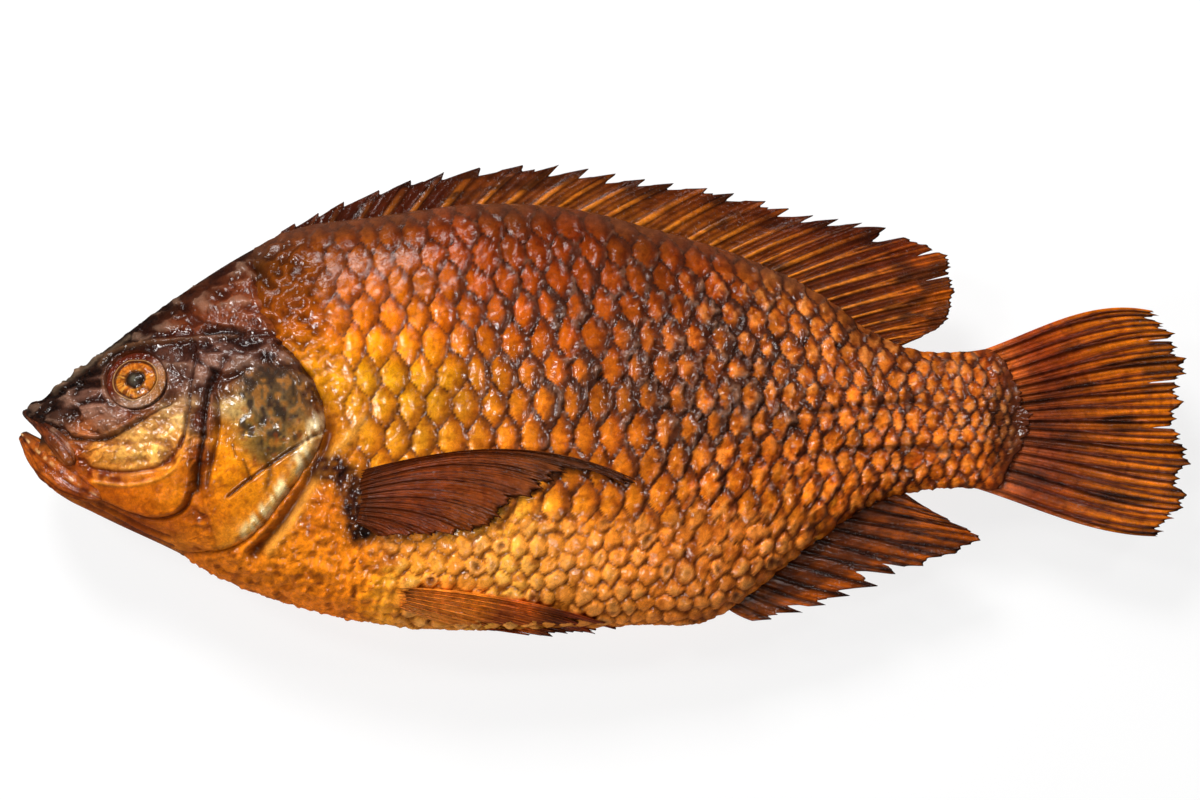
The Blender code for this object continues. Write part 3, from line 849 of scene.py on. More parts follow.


# ---------------------------------------------------------------- the head's skin

# The pinkish-grey anchors at (20, 6), (40, 6), (39, 13), (46.5, 16) and (51, 17.5) are painted sheen on the
# crushed skin
HEAD_TINTS = (
    (3, 3, 3, (52, 34, 28)), (8, 6, 3, (70, 44, 34)), (12, 10.5, 2.6, (52, 34, 28)),
    (18, 15.5, 2.8, (48, 32, 27)), (26, 23, 3, (58, 36, 26)), (36, 29.5, 3.5, (62, 34, 22)),
    (47, 37, 3.5, (72, 40, 28)), (56, 43, 4, (92, 50, 34)), (20, 6, 3.2, (116, 82, 72)),
    (12, 2, 2.6, (84, 52, 42)), (16, -1.9, 2, (158, 88, 46)), (22, 0.5, 2.4, (124, 74, 52)),
    (27, 0.6, 2.2, (98, 36, 18)), (33, 2.4, 2.2, (104, 40, 20)), (40, 6, 2.2, (176, 134, 112)),
    (39, 13, 3.2, (150, 116, 104)), (46.5, 16, 2.6, (122, 86, 80)), (51, 17.5, 3, (130, 100, 96)),
    (58, 18, 3.4, (98, 60, 52)), (66, 17.5, 3.2, (96, 54, 44)), (72, 14, 2.4, (92, 48, 32)),
    (40, 23.6, 2.4, (134, 62, 28)), (31, 21.2, 1.8, (104, 54, 34)), (48, 27, 3.2, (122, 60, 34)),
    (56, 28, 3.6, (132, 70, 46)), (64, 26, 3.4, (140, 76, 54)), (50, 33, 3.4, (116, 56, 32)),
    (58, 35, 4, (134, 66, 38)), (36, -4, 3.4, (228, 170, 102)), (29, -8, 3.2, (226, 166, 96)),
    (22, -10.6, 2.4, (214, 140, 66)), (39.5, 3, 2.2, (230, 186, 136)), (41, -7, 1.8, (204, 122, 44)),
    (24, -16, 2.6, (186, 92, 14)), (32, -18, 3.4, (204, 110, 16)), (39, -18, 2.8, (214, 124, 22)),
    (41.5, -12, 1.8, (206, 116, 22)), (30, -22.3, 2.4, (194, 98, 14)), (17, -14.5, 2.4, (192, 100, 22)),
    (14, -12, 2, (156, 72, 20)), (45.4, 10, 1.5, (92, 50, 44)), (45.5, 0, 1.7, (84, 34, 20)),
    (45.0, -9, 1.6, (126, 56, 16)), (43.6, -14, 1.5, (150, 76, 16)), (49.2, 8, 1.5, (110, 70, 60)),
    (49.2, -1, 1.6, (82, 32, 18)), (48.2, -10, 1.6, (112, 48, 12)), (47, -17, 1.8, (168, 88, 16)),
    (54, 9, 1.8, (190, 130, 80)), (55.5, 3, 2, (196, 158, 108)), (53.5, -4, 2.2, (218, 134, 24)),
    (54, -12, 3, (222, 134, 18)), (56, -21, 3.4, (212, 126, 20)), (50, -24, 3.4, (190, 104, 16)),
    (65, 4, 5.5, (106, 82, 58)), (60, 10, 2.6, (92, 64, 44)), (69, 9, 2.6, (84, 62, 46)),
    (71, 0, 2.6, (104, 78, 52)), (63, -6, 2.8, (116, 84, 46)), (58, -3, 2, (176, 134, 70)),
    (74.6, 6.4, 1.8, (88, 42, 18)), (76.3, 2, 1.4, (150, 84, 40)), (72.6, -2.6, 1.8, (196, 132, 56)),
    (68, -14.5, 2.2, (216, 130, 28)), (63, -18, 2.6, (214, 130, 26)), (60.5, -25, 2.2, (212, 128, 28)),
    (54, -30, 2.6, (222, 140, 48)), (75.4, -6.6, 1.5, (232, 178, 118)),
    (71, -14.8, 1.6, (230, 176, 104)), (66.4, -21.6, 1.7, (238, 200, 148)),
    (60.4, -28.4, 1.8, (234, 188, 126)), (44, -25, 2.6, (174, 90, 16)), (38, -28, 2.6, (184, 94, 16)),
    (46, -30.6, 3.2, (206, 114, 24)), (40, -32.6, 2.2, (204, 118, 30)), (30, -26.8, 2, (156, 72, 14)),
    (22, -22.6, 2, (174, 90, 20)), (12, -18.6, 2, (190, 104, 30)), (6, -13, 2, (180, 100, 40)),
)

# Folds and ridges of the head: plan points, then width and height in mm, colour and its share; the dark
# colours in the sunken folds are painted shade, the pale colours on the raised ridges painted highlights
HEAD_LINES = (
    (((20.2, 14.2), (23.5, 17.4), (28.5, 19.1), (36.3, 20.1), (45.0, 21.1), (55.3, 21.9)),
     0.55, 0.75, (150, 104, 80), 0.3),
    (((47.5, 22.5), (51.5, 23.3), (57.0, 22.7)),
     0.9, -1.3, (30, 9, 5), 0.92),
    (((44.2, 20.2), (45.5, 15.5), (44.0, 9.5), (43.2, 3.0), (42.6, -2.5), (41.4, -7.0)),
     0.5, -0.8, (50, 16, 10), 0.8),
    (((50.4, 12.0), (48.6, 6.5), (47.6, 1.9), (47.1, -4.6), (45.7, -12.2), (45.0, -18.4)),
     0.75, -1.5, (34, 10, 5), 0.92),
    (((53.4, 15.5), (50.2, 9.0), (51.2, 2.5), (50.9, -4.6), (49.4, -11.1), (48.2, -17.0)),
     0.55, -0.8, (60, 22, 10), 0.7),
    (((49.3, 6.0), (49.2, -1.0), (48.4, -8.0)),
     0.8, 0.6, (168, 100, 66), 0.3),
    (((10.5, -2.0), (13.6, -4.6), (18.9, -5.3), (23.8, -4.1), (30.5, -0.3), (38.4, 4.1)),
     0.55, -0.8, (46, 14, 7), 0.8),
    (((13.0, -2.9), (18.9, -4.1), (23.5, -2.9), (30.2, 1.0)),
     0.4, 0.45, (170, 110, 80), 0.25),
    (((17.8, -12.2), (24.3, -13.4), (30.8, -13.0), (36.3, -11.7), (39.6, -9.0), (41.9, -4.6)),
     0.55, -0.7, (104, 30, 7), 0.75),
    (((19.0, -15.6), (27.0, -16.6), (34.0, -15.6), (39.0, -13.2), (42.2, -8.5)),
     0.5, 0.4, (232, 156, 64), 0.4),
    (((43.9, -19.0), (41.9, -23.2), (36.3, -25.6), (28.6, -24.5), (19.9, -20.8), (13.4, -17.9)),
     0.5, -0.9, (86, 30, 7), 0.75),
    (((4.5, -9.4), (6.6, -12.7), (9.8, -15.4), (13.0, -17.2), (16.7, -18.3)),
     0.4, -0.55, (70, 28, 12), 0.65),
    (((7.0, -15.2), (11.6, -18.3), (15.3, -20.0), (20.0, -22.0), (25.0, -24.6), (31.0, -27.6), (38.0, -30.4)),
     0.5, -0.7, (76, 28, 8), 0.7),
    (((16.0, -21.4), (24.0, -25.6), (32.0, -29.8), (39.0, -32.6)),
     0.45, -0.5, (80, 30, 8), 0.6),
    (((53.7, -19.6), (59.6, -14.9), (66.7, -10.0), (73.2, -5.7), (77.2, -3.3)),
     0.42, -0.8, (74, 28, 8), 0.8),
    (((46.0, -17.7), (47.2, -22.5), (50.2, -31.0), (51.6, -34.6)),
     0.35, -0.35, (150, 72, 14), 0.45),
    (((54.8, -6.8), (55.6, -9.4)),
     0.35, -0.4, (70, 34, 12), 0.8),
    (((57.6, -10.6), (58.8, -13.6), (59.4, -15.2)),
     0.4, -0.4, (60, 28, 12), 0.8),
    (((63.4, -9.6), (64.4, -13.6), (63.4, -17.6)),
     0.8, -0.3, (84, 52, 22), 0.7),
    (((8.2, 7.4), (14.0, 11.8), (21.0, 16.6), (28.0, 21.4)),
     0.5, 0.35, (150, 122, 108), 0.3),
    (((66.0, 20.0), (71.0, 15.6), (75.8, 10.0), (78.0, 4.6)),
     0.9, 0.3, (40, 14, 8), 0.75),
)
CHEEK_CENTRE = (30.0, -8.0)
CHEEK_EDGE = (
    (43.4, 3.0), (44.6, -6.0), (44.6, -14.0), (43.6, -19.4), (41.6, -23.2), (36.3, -25.5), (28.6, -24.5),
    (19.9, -20.8), (13.4, -17.6), (10.0, -10.0), (13.0, -5.0), (19.0, -5.2), (24.0, -4.0), (30.5, -0.3),
    (38.4, 4.2),
)
UNDER_CHEEK = ((18, -13.4), (25, -14.6), (32, -14.2), (39.5, -11.6))
COVER_RISE = 1.3
CHEEK_RISE = 1.1
SOCKET = (8.1, 7.5)
NOSTRIL = (15.2, 9.8)

# Grid of points along and round one side, and the first seed of each side's noise
HEAD_GRID = (252, 227)
HEAD_SEED = {1: 200, -1: 500}


def eye_share(u, v):
    """Distance from the eye's middle, 1 at the socket's rim."""
    return np.hypot((u - EYE[0]) / SOCKET[0], (v - EYE[1]) / SOCKET[1])


def cover_edge(q):
    """Where the head's skin ends along each girth share: the last crossing of the head's edge."""
    u = np.linspace(30, 90, 601)[:, None]
    v, h = girth_point(u, q)
    inside = lobe_reach(HEAD_CENTRE, HEAD_EDGE, *seen(u, v, h)) > 0
    last = inside.shape[0] - 1 - np.argmax(inside[::-1], axis=0)
    return u[last, 0][None, :]


def head_patterns(u, v, along, arc, seed):
    """The patterns of the head at each point: its crushed foil, its creases and its zones.

    u and v are where a point is seen in plan, along and arc its own place on the skin. Foil lies
    over the skull and gives way to smooth skin on the cheek and the cover; share is the distance
    from the eye's middle, and the rest are shares from 0 to 1.
    """
    g = SimpleNamespace()
    g.inside = lobe_reach(HEAD_CENTRE, HEAD_EDGE, u, v)
    g.free = ramp(22, 13, v)
    cheek = lobe_reach(CHEEK_CENTRE, CHEEK_EDGE, u, v)
    g.on_cheek = ramp(-0.2, 1.6, cheek)
    g.on_cover = ramp(43.0, 47.0, u + 0.1 * v) * ramp(21, 16, v)

    g.golden = hill(u, v, (32, -5.6), (10, 4.6), 34) * ramp(-13.5, -11.5, v + 0.1 * (30 - u))
    g.smooth_skin = ramp(-9, -14, v) * ramp(50, 40, u) + ramp(7, -4, v) * ramp(46, 51, u)
    from_spot = np.hypot((u - 65.0) / 11.0, (v - 3.0) / 13.5)
    g.spot = ramp(1.0, 0.72, from_spot + 0.16 * drift(u / 3.2, v / 3.2, seed + 40))
    g.amount = 0.72 - 0.60 * np.clip(g.smooth_skin, 0, 1) - 0.62 * g.spot - 0.36 * g.golden
    g.foil = crumple(along / 4.4, arc / 3.2, 900)
    turned = (u + arc) / 1.414, (arc - u) / 1.414
    g.small = crumple(turned[0] / 1.15, turned[1] / 1.7, seed + 70)
    g.veins = bell(crumple(along / 3.6, arc / 3.0, seed + 90), 0.05) * np.clip(1.6 * g.amount, 0, 1)
    g.valley = ramp(0.12, -0.35, g.foil) * np.clip(g.amount * 2.0, 0, 1)
    g.share = eye_share(u, v)
    return g


def head_relief(u, v, arc, seed, g):
    """How far the skin stands out, mm: foil and veins, raised cheek and cover, socket and folds."""
    relief = 1.35 * g.amount * g.foil + 0.34 * g.veins + (0.05 + 0.22 * g.golden) * g.small
    relief = relief + 0.35 * drift(u / 9, arc / 9, seed + 41)

    relief = relief + COVER_RISE * g.on_cover * ramp(0, 3.4, g.inside) + CHEEK_RISE * g.on_cheek
    relief = relief + 0.45 * hill(u, v, (75.0, -9), (3, 9), -36) * g.free
    relief = relief - g.free * 1.4 * ramp(2.4, 0.0, g.inside) ** 2
    relief = relief + (1 - g.free) * (0.3 - 1.0 * ramp(3, 0, g.inside))
    relief = relief + 0.8 * hill(u, v, (20, 5.5), (8, 5), 20) + 0.7 * hill(u, v, (56, 8), (9, 9))
    relief = relief * ramp(0.9, 1.25, g.share) + 0.2 * bell(g.share - 1.05, 0.06)
    relief = relief - 1.2 * ramp(1.02, 0.93, g.share)
    relief = relief - 0.9 * hill(u, v, NOSTRIL, (0.7, 0.5), 30)
    for points, width, height, _, _ in HEAD_LINES:
        relief = relief + height * near_line(u, v, points, width)
    return relief


def head_tint(u, v, arc, seed, g):
    """The colour of the head: a field, with painted shade in its valleys and creases and painted sheen on the
    foil and in pinkish patches, then its folds.
    """
    tint = blended(u, v, HEAD_TINTS)
    tint = mixed(tint, blended(u, v, FLANK_TINTS), (1 - g.free) * ramp(7, -5, g.inside))
    tint = tint * (1 + 0.22 * drift(u / 3.4, arc / 3.4, seed + 42))[..., None]
    to_back = smooth(BACK_OUTLINE, u) - v
    tint = tint * (1 - 0.55 * ramp(13, 2.0, to_back))[..., None]
    dark_top = ramp(-1, 5, v - 0.16 * (u - 20)) * (1 - 0.8 * g.spot)
    dark_top = dark_top * (1 - 0.85 * ramp(21, 25, v) * ramp(30, 40, u))
    tint = shifted(tint, (0.30, 0.20, 0.20), dark_top)
    # Painted shade: the foil's valleys darkened
    tint = shifted(tint, (0.42, 0.30, 0.26), 0.85 * g.valley)
    # Painted shade in the small creases, stronger on the golden cheek
    creased = ramp(0.05, -0.35, g.small)
    tint = shifted(tint, (0.62, 0.44, 0.32), creased * (0.30 + 0.5 * g.golden))
    tint = shifted(tint, (0.30, 0.22, 0.20), 0.6 * g.veins)
    sheen = ramp(0.15, 0.5, g.foil) * np.clip(g.amount * 2.0, 0, 1) * ramp(-6, 2, v)
    tint = mixed(tint, colour(180, 140, 128), 0.24 * sheen)
    # Painted sheen: broad pinkish patches on the snout, behind the eye and on the nape
    sheen_patches = 1.5 * hill(u, v, (20, 5.5), (9, 4.5), 20) + hill(u, v, (49, 14), (6, 7))
    sheen_patches = sheen_patches + 0.8 * hill(u, v, (63, 17.5), (9, 3.5), -15)
    tint = mixed(tint, colour(168, 118, 108), 0.5 * np.clip(sheen_patches, 0, 1) * ramp(-0.3, 0.5, g.foil))

    mottled = swell(u / 1.7, v / 2.0, seed + 43) + 0.7 * swell(u / 0.8, v / 0.9, seed + 44)
    tint = mixed(tint, colour(56, 42, 38), g.spot * ramp(-0.1, 0.6, mottled) * 0.9)
    tint = mixed(tint, colour(156, 100, 48), g.spot * ramp(-0.25, -0.8, mottled) * 0.7)
    dots = ramp(0.35, 0.75, swell(u / 1.1, v / 1.3, seed + 45)) * g.smooth_skin
    tint = mixed(tint, colour(136, 60, 10), 0.45 * np.clip(dots, 0, 1))
    under_cheek = near_line(u, v, UNDER_CHEEK, 1.5) * ramp(-0.3, 0.4, swell(u / 1.5, v / 2.6, seed + 46))
    tint = mixed(tint, colour(104, 34, 8), under_cheek * 0.9)

    # Folds and ridges: painted shade in the sunken folds, painted highlights on the raised ridges
    for points, width, _, shade, strength in HEAD_LINES:
        tint = mixed(tint, colour(*shade), strength * near_line(u, v, points, width))
    streaks = swell(u / 0.9 + v / 2.2, v / 3.5 - u / 4.0, seed + 47)
    rim = ramp(5.4, 3.2, g.inside) * g.free * ramp(4, -2, v)
    tint = mixed(tint, colour(240, 212, 182), rim * ramp(54, 60, u) * ramp(-0.4, 0.4, streaks) * 0.85)
    tint = mixed(tint, colour(120, 50, 12), ramp(0.9, 0.1, g.inside) * g.free * 0.75)
    below = ramp(-4, -12, v + 0.15 * (40 - u)) * ramp(76, 66, u)
    tint = shifted(tint, (1.10, 1.10, 0.95), below)
    # Painted shade on the wall of the eye's socket
    socket_wall_shade = ramp(1.06, 0.98, g.share)
    tint = mixed(tint, colour(84, 36, 14), socket_wall_shade * 0.7)
    tint = mixed(tint, colour(150, 100, 76), 0.30 * bell(g.share - 1.06, 0.05) * ramp(17, 8, v))
    # Painted shade in the nostril's pit
    tint = mixed(tint, colour(20, 6, 4), hill(u, v, NOSTRIL, (0.8, 0.6), 30))
    return tint


def head(side, name, material):
    """The skin of one side of the head and its gill cover, its free edge rolled in and closed."""
    seed = HEAD_SEED[side]
    q = np.linspace(-1, 1, HEAD_GRID[1])[None, :]
    share = np.linspace(0, 1, HEAD_GRID[0])[:, None]
    opening = np.where(q > 0.05, 0.25, 0.75)
    front = 1.8 + 5.2 * bell(q - 0.05, opening)
    u = front + (cover_edge(q) - front) * share
    v, h = girth_point(u, q)
    if side < 0:
        h = pressed(h)
    base = np.stack([u, v, h], axis=-1)
    seen_u, seen_v = seen(u, v, h)
    arc = arc_at(u, q + 0 * u)
    patterns = head_patterns(seen_u, seen_v, u, arc, seed)
    relief = head_relief(seen_u, seen_v, arc, seed, patterns)
    tint = head_tint(seen_u, seen_v, arc, seed, patterns)
    marks = {"crust": np.clip(0.25 + 0.5 * patterns.valley - 0.2 * patterns.golden, 0, 1)}
    flat = ramp(1.0, 0.88, np.abs(q)) * ramp(0.0, 0.045, share)
    if side < 0:
        relief = relief * (1 - 0.4 * ramp(15, 19.4, h))
    pushed = base + normals_of(base) * (relief * flat)[..., None]
    u, v, h = pushed[..., 0], pushed[..., 1], np.maximum(pushed[..., 2], 0)
    h[:, 0] = h[:, -1] = 0

    # Beyond the free edge the rim turns under, runs back and drops to the middle plane
    turned = ramp(1.0, 0.9, np.abs(q))
    back_u = [u[-1:] - shift * turned + 0.1 * k for k, shift in enumerate((0.4, 1.4, 3.3, 3.3), 1)]
    back_h = [np.maximum(h[-1:] - drop, 0) for drop in (0.7, 1.5, 3.5)] + [0 * h[-1:]]
    u = np.concatenate([u[:1] - 0.2, u] + back_u)
    v = np.concatenate([v[:1], v] + [v[-1:]] * 4)
    h = np.concatenate([0 * h[:1], h] + back_h)
    # Painted shade: the front row inside the mouth and the rim turned under the cover darkened
    tint = np.concatenate([tint[:1] * 0.2, tint] + [tint[-1:] * 0.35] * 4)
    marks = {k: np.concatenate([m[:1], m] + [m[-1:]] * 4) for k, m in marks.items()}
    return half_skin(name, u, v, h, side, tint, marks, material)


# ---------------------------------------------------------------- eyes and jaws

def ring_mesh(name, points, tint, marks, material):
    """A closed mesh from rings of points, each joined to the next and the ends closed by flat faces."""
    rings, around = points.shape[:2]
    index = numbered(rings, around)
    ahead = np.roll(index, -1, axis=1)
    quads = np.stack([index[:-1], ahead[:-1], ahead[1:], index[1:]], axis=-1).reshape(-1, 4)
    turned = faces_inwards(points.reshape(-1, 3), quads)
    quads = quads[:, ::-1] if turned else quads
    row = np.linspace(BAKE_LOW, 0.985, rings)[:, None] + 0 * index
    turn = np.linspace(BAKE_LOW, 0.99, around + 1)
    start = turn[:-1][None, :] + 0 * row
    end = turn[1:][None, :] + 0 * row
    uv = np.stack([
        np.stack([start[:-1], end[:-1], end[1:], start[1:]], -1),
        np.stack([row[:-1], row[:-1], row[1:], row[1:]], -1),
    ], axis=-1).reshape(-1, 4, 2)
    uv = (uv[:, ::-1] if turned else uv).reshape(-1, 2)
    caps = [index[0], index[-1, ::-1]] if turned else [index[0, ::-1], index[-1]]
    cap_uv = [np.stack([start[0], height + 0 * start[0]], -1) for height in (0.992, BAKE_HIGH)]
    marks = {key: value.ravel() for key, value in marks.items()}
    uv = np.concatenate([uv] + cap_uv)
    thing = new_mesh(name, points.reshape(-1, 3), quads, caps, tint.reshape(-1, 3), marks, uv)
    return wrapped(thing, material)


EYE_RINGS = 92
EYE_BACK_RINGS = 8
EYE_AROUND = 144
EYE_SEED = {1: 600, -1: 700}


def make_eye(side, name, material):
    """A dried eye: rings about the socket's axis, stepped from the clouded pupil out to its rim.

    The height over the socket's plane is a shallow dome with a bulge at the pupil and grooves
    between pupil, iris and the ring of skin; the rim tucks in and a flat back closes it.
    """
    seed = EYE_SEED[side]
    r = np.concatenate([np.linspace(0.1, 8.7, EYE_RINGS), np.linspace(8.5, 0.1, EYE_BACK_RINGS)])[:, None]
    top = (np.arange(len(r)) < EYE_RINGS)[:, None]
    turn = np.linspace(0, 2 * math.pi, EYE_AROUND, endpoint=False)[None, :]
    x, y = r * np.cos(turn), r * np.sin(turn) * SOCKET[1] / SOCKET[0]
    wobble = r + 0.22 * swell(2.2 * np.cos(turn) + 9, 2.2 * np.sin(turn), seed)

    def ring(radius, width):
        """1 on a wavering circle of this radius, mm."""
        return bell(wobble - radius, width)

    mottle = drift(x / 1.1, y / 1.1, seed + 1)
    rise = 1.0 * (1 - (r / 8) ** 2) - 0.35 + 0.55 * bell(r, 1.5) - 0.30 * ring(2.4, 0.30)
    rise = rise - 0.42 * ring(5.35, 0.26) + 0.30 * ring(5.85, 0.28) + 0.14 * ring(3.8, 0.9)
    rise = rise + 0.10 * mottle * ramp(2.5, 3.2, r)
    rise = rise + 0.16 * swell(x * 2.2, y * 2.2, seed + 2) * ramp(5.6, 6.6, r)
    rise = rise + 0.35 * ramp(5.4, 7.0, r) - 1.0 * ramp(7.9, 8.7, r)
    rise = np.where(top, rise, -2.6 + 0 * turn)

    centre_u, centre_v, _ = stood(*EYE, flank)
    step = 0.6
    h0, hu, hv = (float(flank(centre_u + a, centre_v + b)) for a, b in ((0, 0), (step, 0), (0, step)))
    normal = np.array([(h0 - hu) / step, (h0 - hv) / step, 1.0])
    normal /= np.linalg.norm(normal)
    shrink = 1 - h0 / VIEW_DISTANCE
    u = centre_u + (x * shrink) + normal[0] * rise
    v = centre_v + (y * shrink) + normal[1] * rise
    h = h0 + (hu - h0) / step * x * shrink + (hv - h0) / step * y * shrink + normal[2] * rise + 0.15

    streak = swell(turn * 14, r * 0.7, seed + 3)
    tint = colour(184, 106, 32) + 0 * (x + y)[..., None]
    tint = mixed(tint, colour(112, 56, 18), ramp(-0.25, 0.4, mottle))
    tint = mixed(tint, colour(226, 166, 84), ramp(0.0, 0.8, streak) * 0.5)
    # Painted shade under the socket's upper wall: the iris darker towards the top
    tint = mixed(tint, colour(168, 86, 22), ramp(0.0, 3.0, y) * ramp(2.6, 3.2, r) * 0.5)
    outer = ramp(5.1, 5.7, wobble)
    # The ring of skin round the eye: darker on its upper side as painted shade, paler and pinkish below as
    # painted sheen
    shaded_side = ramp(-0.9, 0.5, np.sin(turn - 0.5) - 0.35 * np.cos(turn))
    skin = mixed(colour(150, 112, 98) + 0 * tint, colour(84, 30, 14), shaded_side + 0 * r)
    skin = mixed(skin, colour(150, 92, 40), ramp(0.5, 1.0, np.cos(turn + 0.3)) * 0.8 + 0 * r)
    tint = mixed(tint, skin * (1 + 0.3 * mottle)[..., None], outer)
    # Painted glint: a thin pale ring on the raised ring of skin
    tint = mixed(tint, colour(206, 160, 110), 0.5 * ring(5.85, 0.14))
    tint = mixed(tint, colour(74, 34, 14), 0.8 * ring(5.3, 0.22))
    tint = mixed(tint, colour(92, 50, 20), ramp(3.0, 2.5, wobble))
    tint = mixed(tint, colour(36, 20, 13), ramp(2.5, 2.15, wobble))
    clouded = np.exp(-(((x + 0.25) / 1.0) ** 2) - ((y + 0.1) / 1.15) ** 2)
    tint = mixed(tint, colour(96, 90, 84), 0.85 * clouded)
    # Painted shade: the rim that tucks into the socket darkened
    tint = mixed(tint, colour(52, 24, 14), ramp(7.7, 8.3, r) + 0 * turn)
    points = place(u, v, side * h)
    return ring_mesh(name, points, tint, {"crust": 0.1 * outer + 0 * x}, material)


# Each jaw, from the tip to the corner of the mouth: its bar's path in plan, half its height and
# half its width, and how far it stands out from the middle plane, all mm; tall_way is the plan
# direction in which its height is measured
JAW_GRID = (300, 72)
UPPER_JAW = {
    "path": ((1.5, 1.5), (3.9, -0.4), (6.6, -2.8), (9.6, -6.0), (11.9, -8.9), (13.6, -11.4)),
    "half_height": (1.1, 1.5, 2.0, 2.7, 2.6, 1.9),
    "half_width": (1.5, 1.8, 2.0, 2.1, 2.0, 1.6),
    "tall_way": (0.72, 0.69),
    "out": (0.0, 4.4, 7.6, 9.8, 11.2, 11.8),
}
LOWER_JAW = {
    "path": ((1.1, -4.8), (3.2, -7.5), (6.8, -11.2), (11.2, -14.9), (15.8, -17.9), (21.0, -20.6)),
    "half_height": (1.7, 3.0, 4.1, 4.2, 3.2, 2.0),
    "half_width": (1.8, 2.0, 2.2, 2.2, 1.9, 1.5),
    "tall_way": (0.62, 0.785),
    "out": (0.0, 4.2, 7.2, 9.3, 10.4, 10.2),
}


def jaw_grid(jaw, along, around):
    """Rings of a jaw: a rounded bar swept from the right corner round the tip to the left corner."""
    s = np.linspace(-1, 1, along)[:, None]
    turn = np.linspace(0, 2 * math.pi, around, endpoint=False)[None, :]
    places = np.linspace(-1, 1, 2 * len(jaw["out"]) - 1)

    def mirrored(values, signs=1):
        """A smooth run of the values from the right corner to the tip and back to the left corner."""
        both = signs * np.concatenate([np.array(values[:0:-1]), np.array(values)])
        return smooth(np.stack([places, both], 1), s)

    u0, v0 = (mirrored(values) for values in zip(*jaw["path"]))
    h0 = mirrored(jaw["out"], np.sign(places))
    close = np.sqrt(np.clip(1 - np.clip((np.abs(s) - 0.84) / 0.16, 0, 1) ** 2, 0.0004, 1))
    tall = mirrored(jaw["half_height"]) * close
    wide = mirrored(jaw["half_width"]) * close
    path = np.concatenate([u0, v0, h0], axis=1)
    tangent = np.gradient(path, axis=0)
    tangent /= np.linalg.norm(tangent, axis=1, keepdims=True)
    up = np.array([*jaw["tall_way"], 0.0])
    out = np.cross(tangent, up)
    out /= np.linalg.norm(out, axis=1, keepdims=True)
    return s, turn, path, up, out, tall, wide


def make_jaw(name, jaw, seed, lower, material):
    """One jaw with its lips: the bar's surface is crumpled lengthwise and grooved along its side."""
    s, turn, path, up, out, tall, wide = jaw_grid(jaw, *JAW_GRID)
    c, si = np.cos(turn), np.sin(turn)
    length = np.concatenate([[0], np.cumsum(np.linalg.norm(np.diff(path, axis=0), axis=1))])[:, None]
    girth = turn * 2.6
    folds = crumple(length / 3.4, 4.5 * c + 3.0 * si, seed)
    groove_at = -0.10 if lower else 0.25
    groove = bell(si - groove_at - 0.10 * swell(length / 5, 0 * length, seed + 2), 0.10)
    swollen = 1 + 0.075 * folds - 0.14 * groove * ramp(0.0, 0.3, np.abs(c))
    power = 0.86
    rise = np.sign(si) * np.abs(si) ** power * tall * swollen
    side = np.sign(c) * np.abs(c) ** power * wide * swollen
    grid = path[:, None, :] + rise[..., None] * up + side[..., None] * out[:, None, :]
    u, v, h = grid[..., 0], grid[..., 1], grid[..., 2]
    sign = np.where(h < 0, -1.0, 1.0)
    u, v, _ = stood(u, v, lambda a, b: np.abs(h))
    mottle = drift(length / 2.4, girth / 1.6, seed + 3)
    if lower:
        tint = mixed(colour(172, 88, 26) + 0 * grid, colour(118, 52, 18), ramp(-0.2, 0.7, mottle))
        tint = mixed(tint, colour(58, 34, 28), 0.9 * bell(s, 0.24) * ramp(-0.7, 0.4, si + 0.4 * mottle))
        for line_at in (0.55, -0.45, -0.75):
            wavy = line_at + 0.12 * swell(length / 4, 0 * length, seed + 5)
            tint = mixed(tint, colour(84, 34, 12), 0.7 * bell(si - wavy, 0.05))
        # Painted glint: a pale broken line along the lower jaw's upper edge
        lip_glint = 0.75 * bell(si - groove_at - 0.22, 0.07)
        lip_glint = lip_glint * ramp(-0.2, 0.5, swell(length * 0.9, 0 * length, seed + 4))
        tint = mixed(tint, colour(232, 184, 140), lip_glint)
    else:
        tint = mixed(colour(78, 38, 26) + 0 * grid, colour(128, 62, 30), ramp(-0.1, 0.8, mottle))
        tint = mixed(tint, colour(150, 80, 34), ramp(0.45, 0.85, np.abs(s)) * 0.75)
        tint = mixed(tint, colour(46, 30, 26), 0.7 * bell(s, 0.16))
        # Painted glints on the crests of the upper jaw's folds
        tint = mixed(tint, colour(190, 150, 134), 0.30 * ramp(0.3, 0.8, folds))
    # Painted shade in the side groove and in the valleys of the folds
    tint = shifted(tint, (0.42, 0.30, 0.25), 0.85 * groove)
    tint = shifted(tint, (0.5, 0.36, 0.3), 0.7 * ramp(0.0, -0.6, folds))
    inner = ramp(-0.1, -0.7, c) + 0 * s
    tint = mixed(tint, colour(130, 52, 14), inner * (0.8 if lower else 0.3))
    return ring_mesh(name, place(u, v, sign * np.abs(h)), tint, {"crust": 0.3 + 0 * h}, material)


# ---------------------------------------------------------------- fins

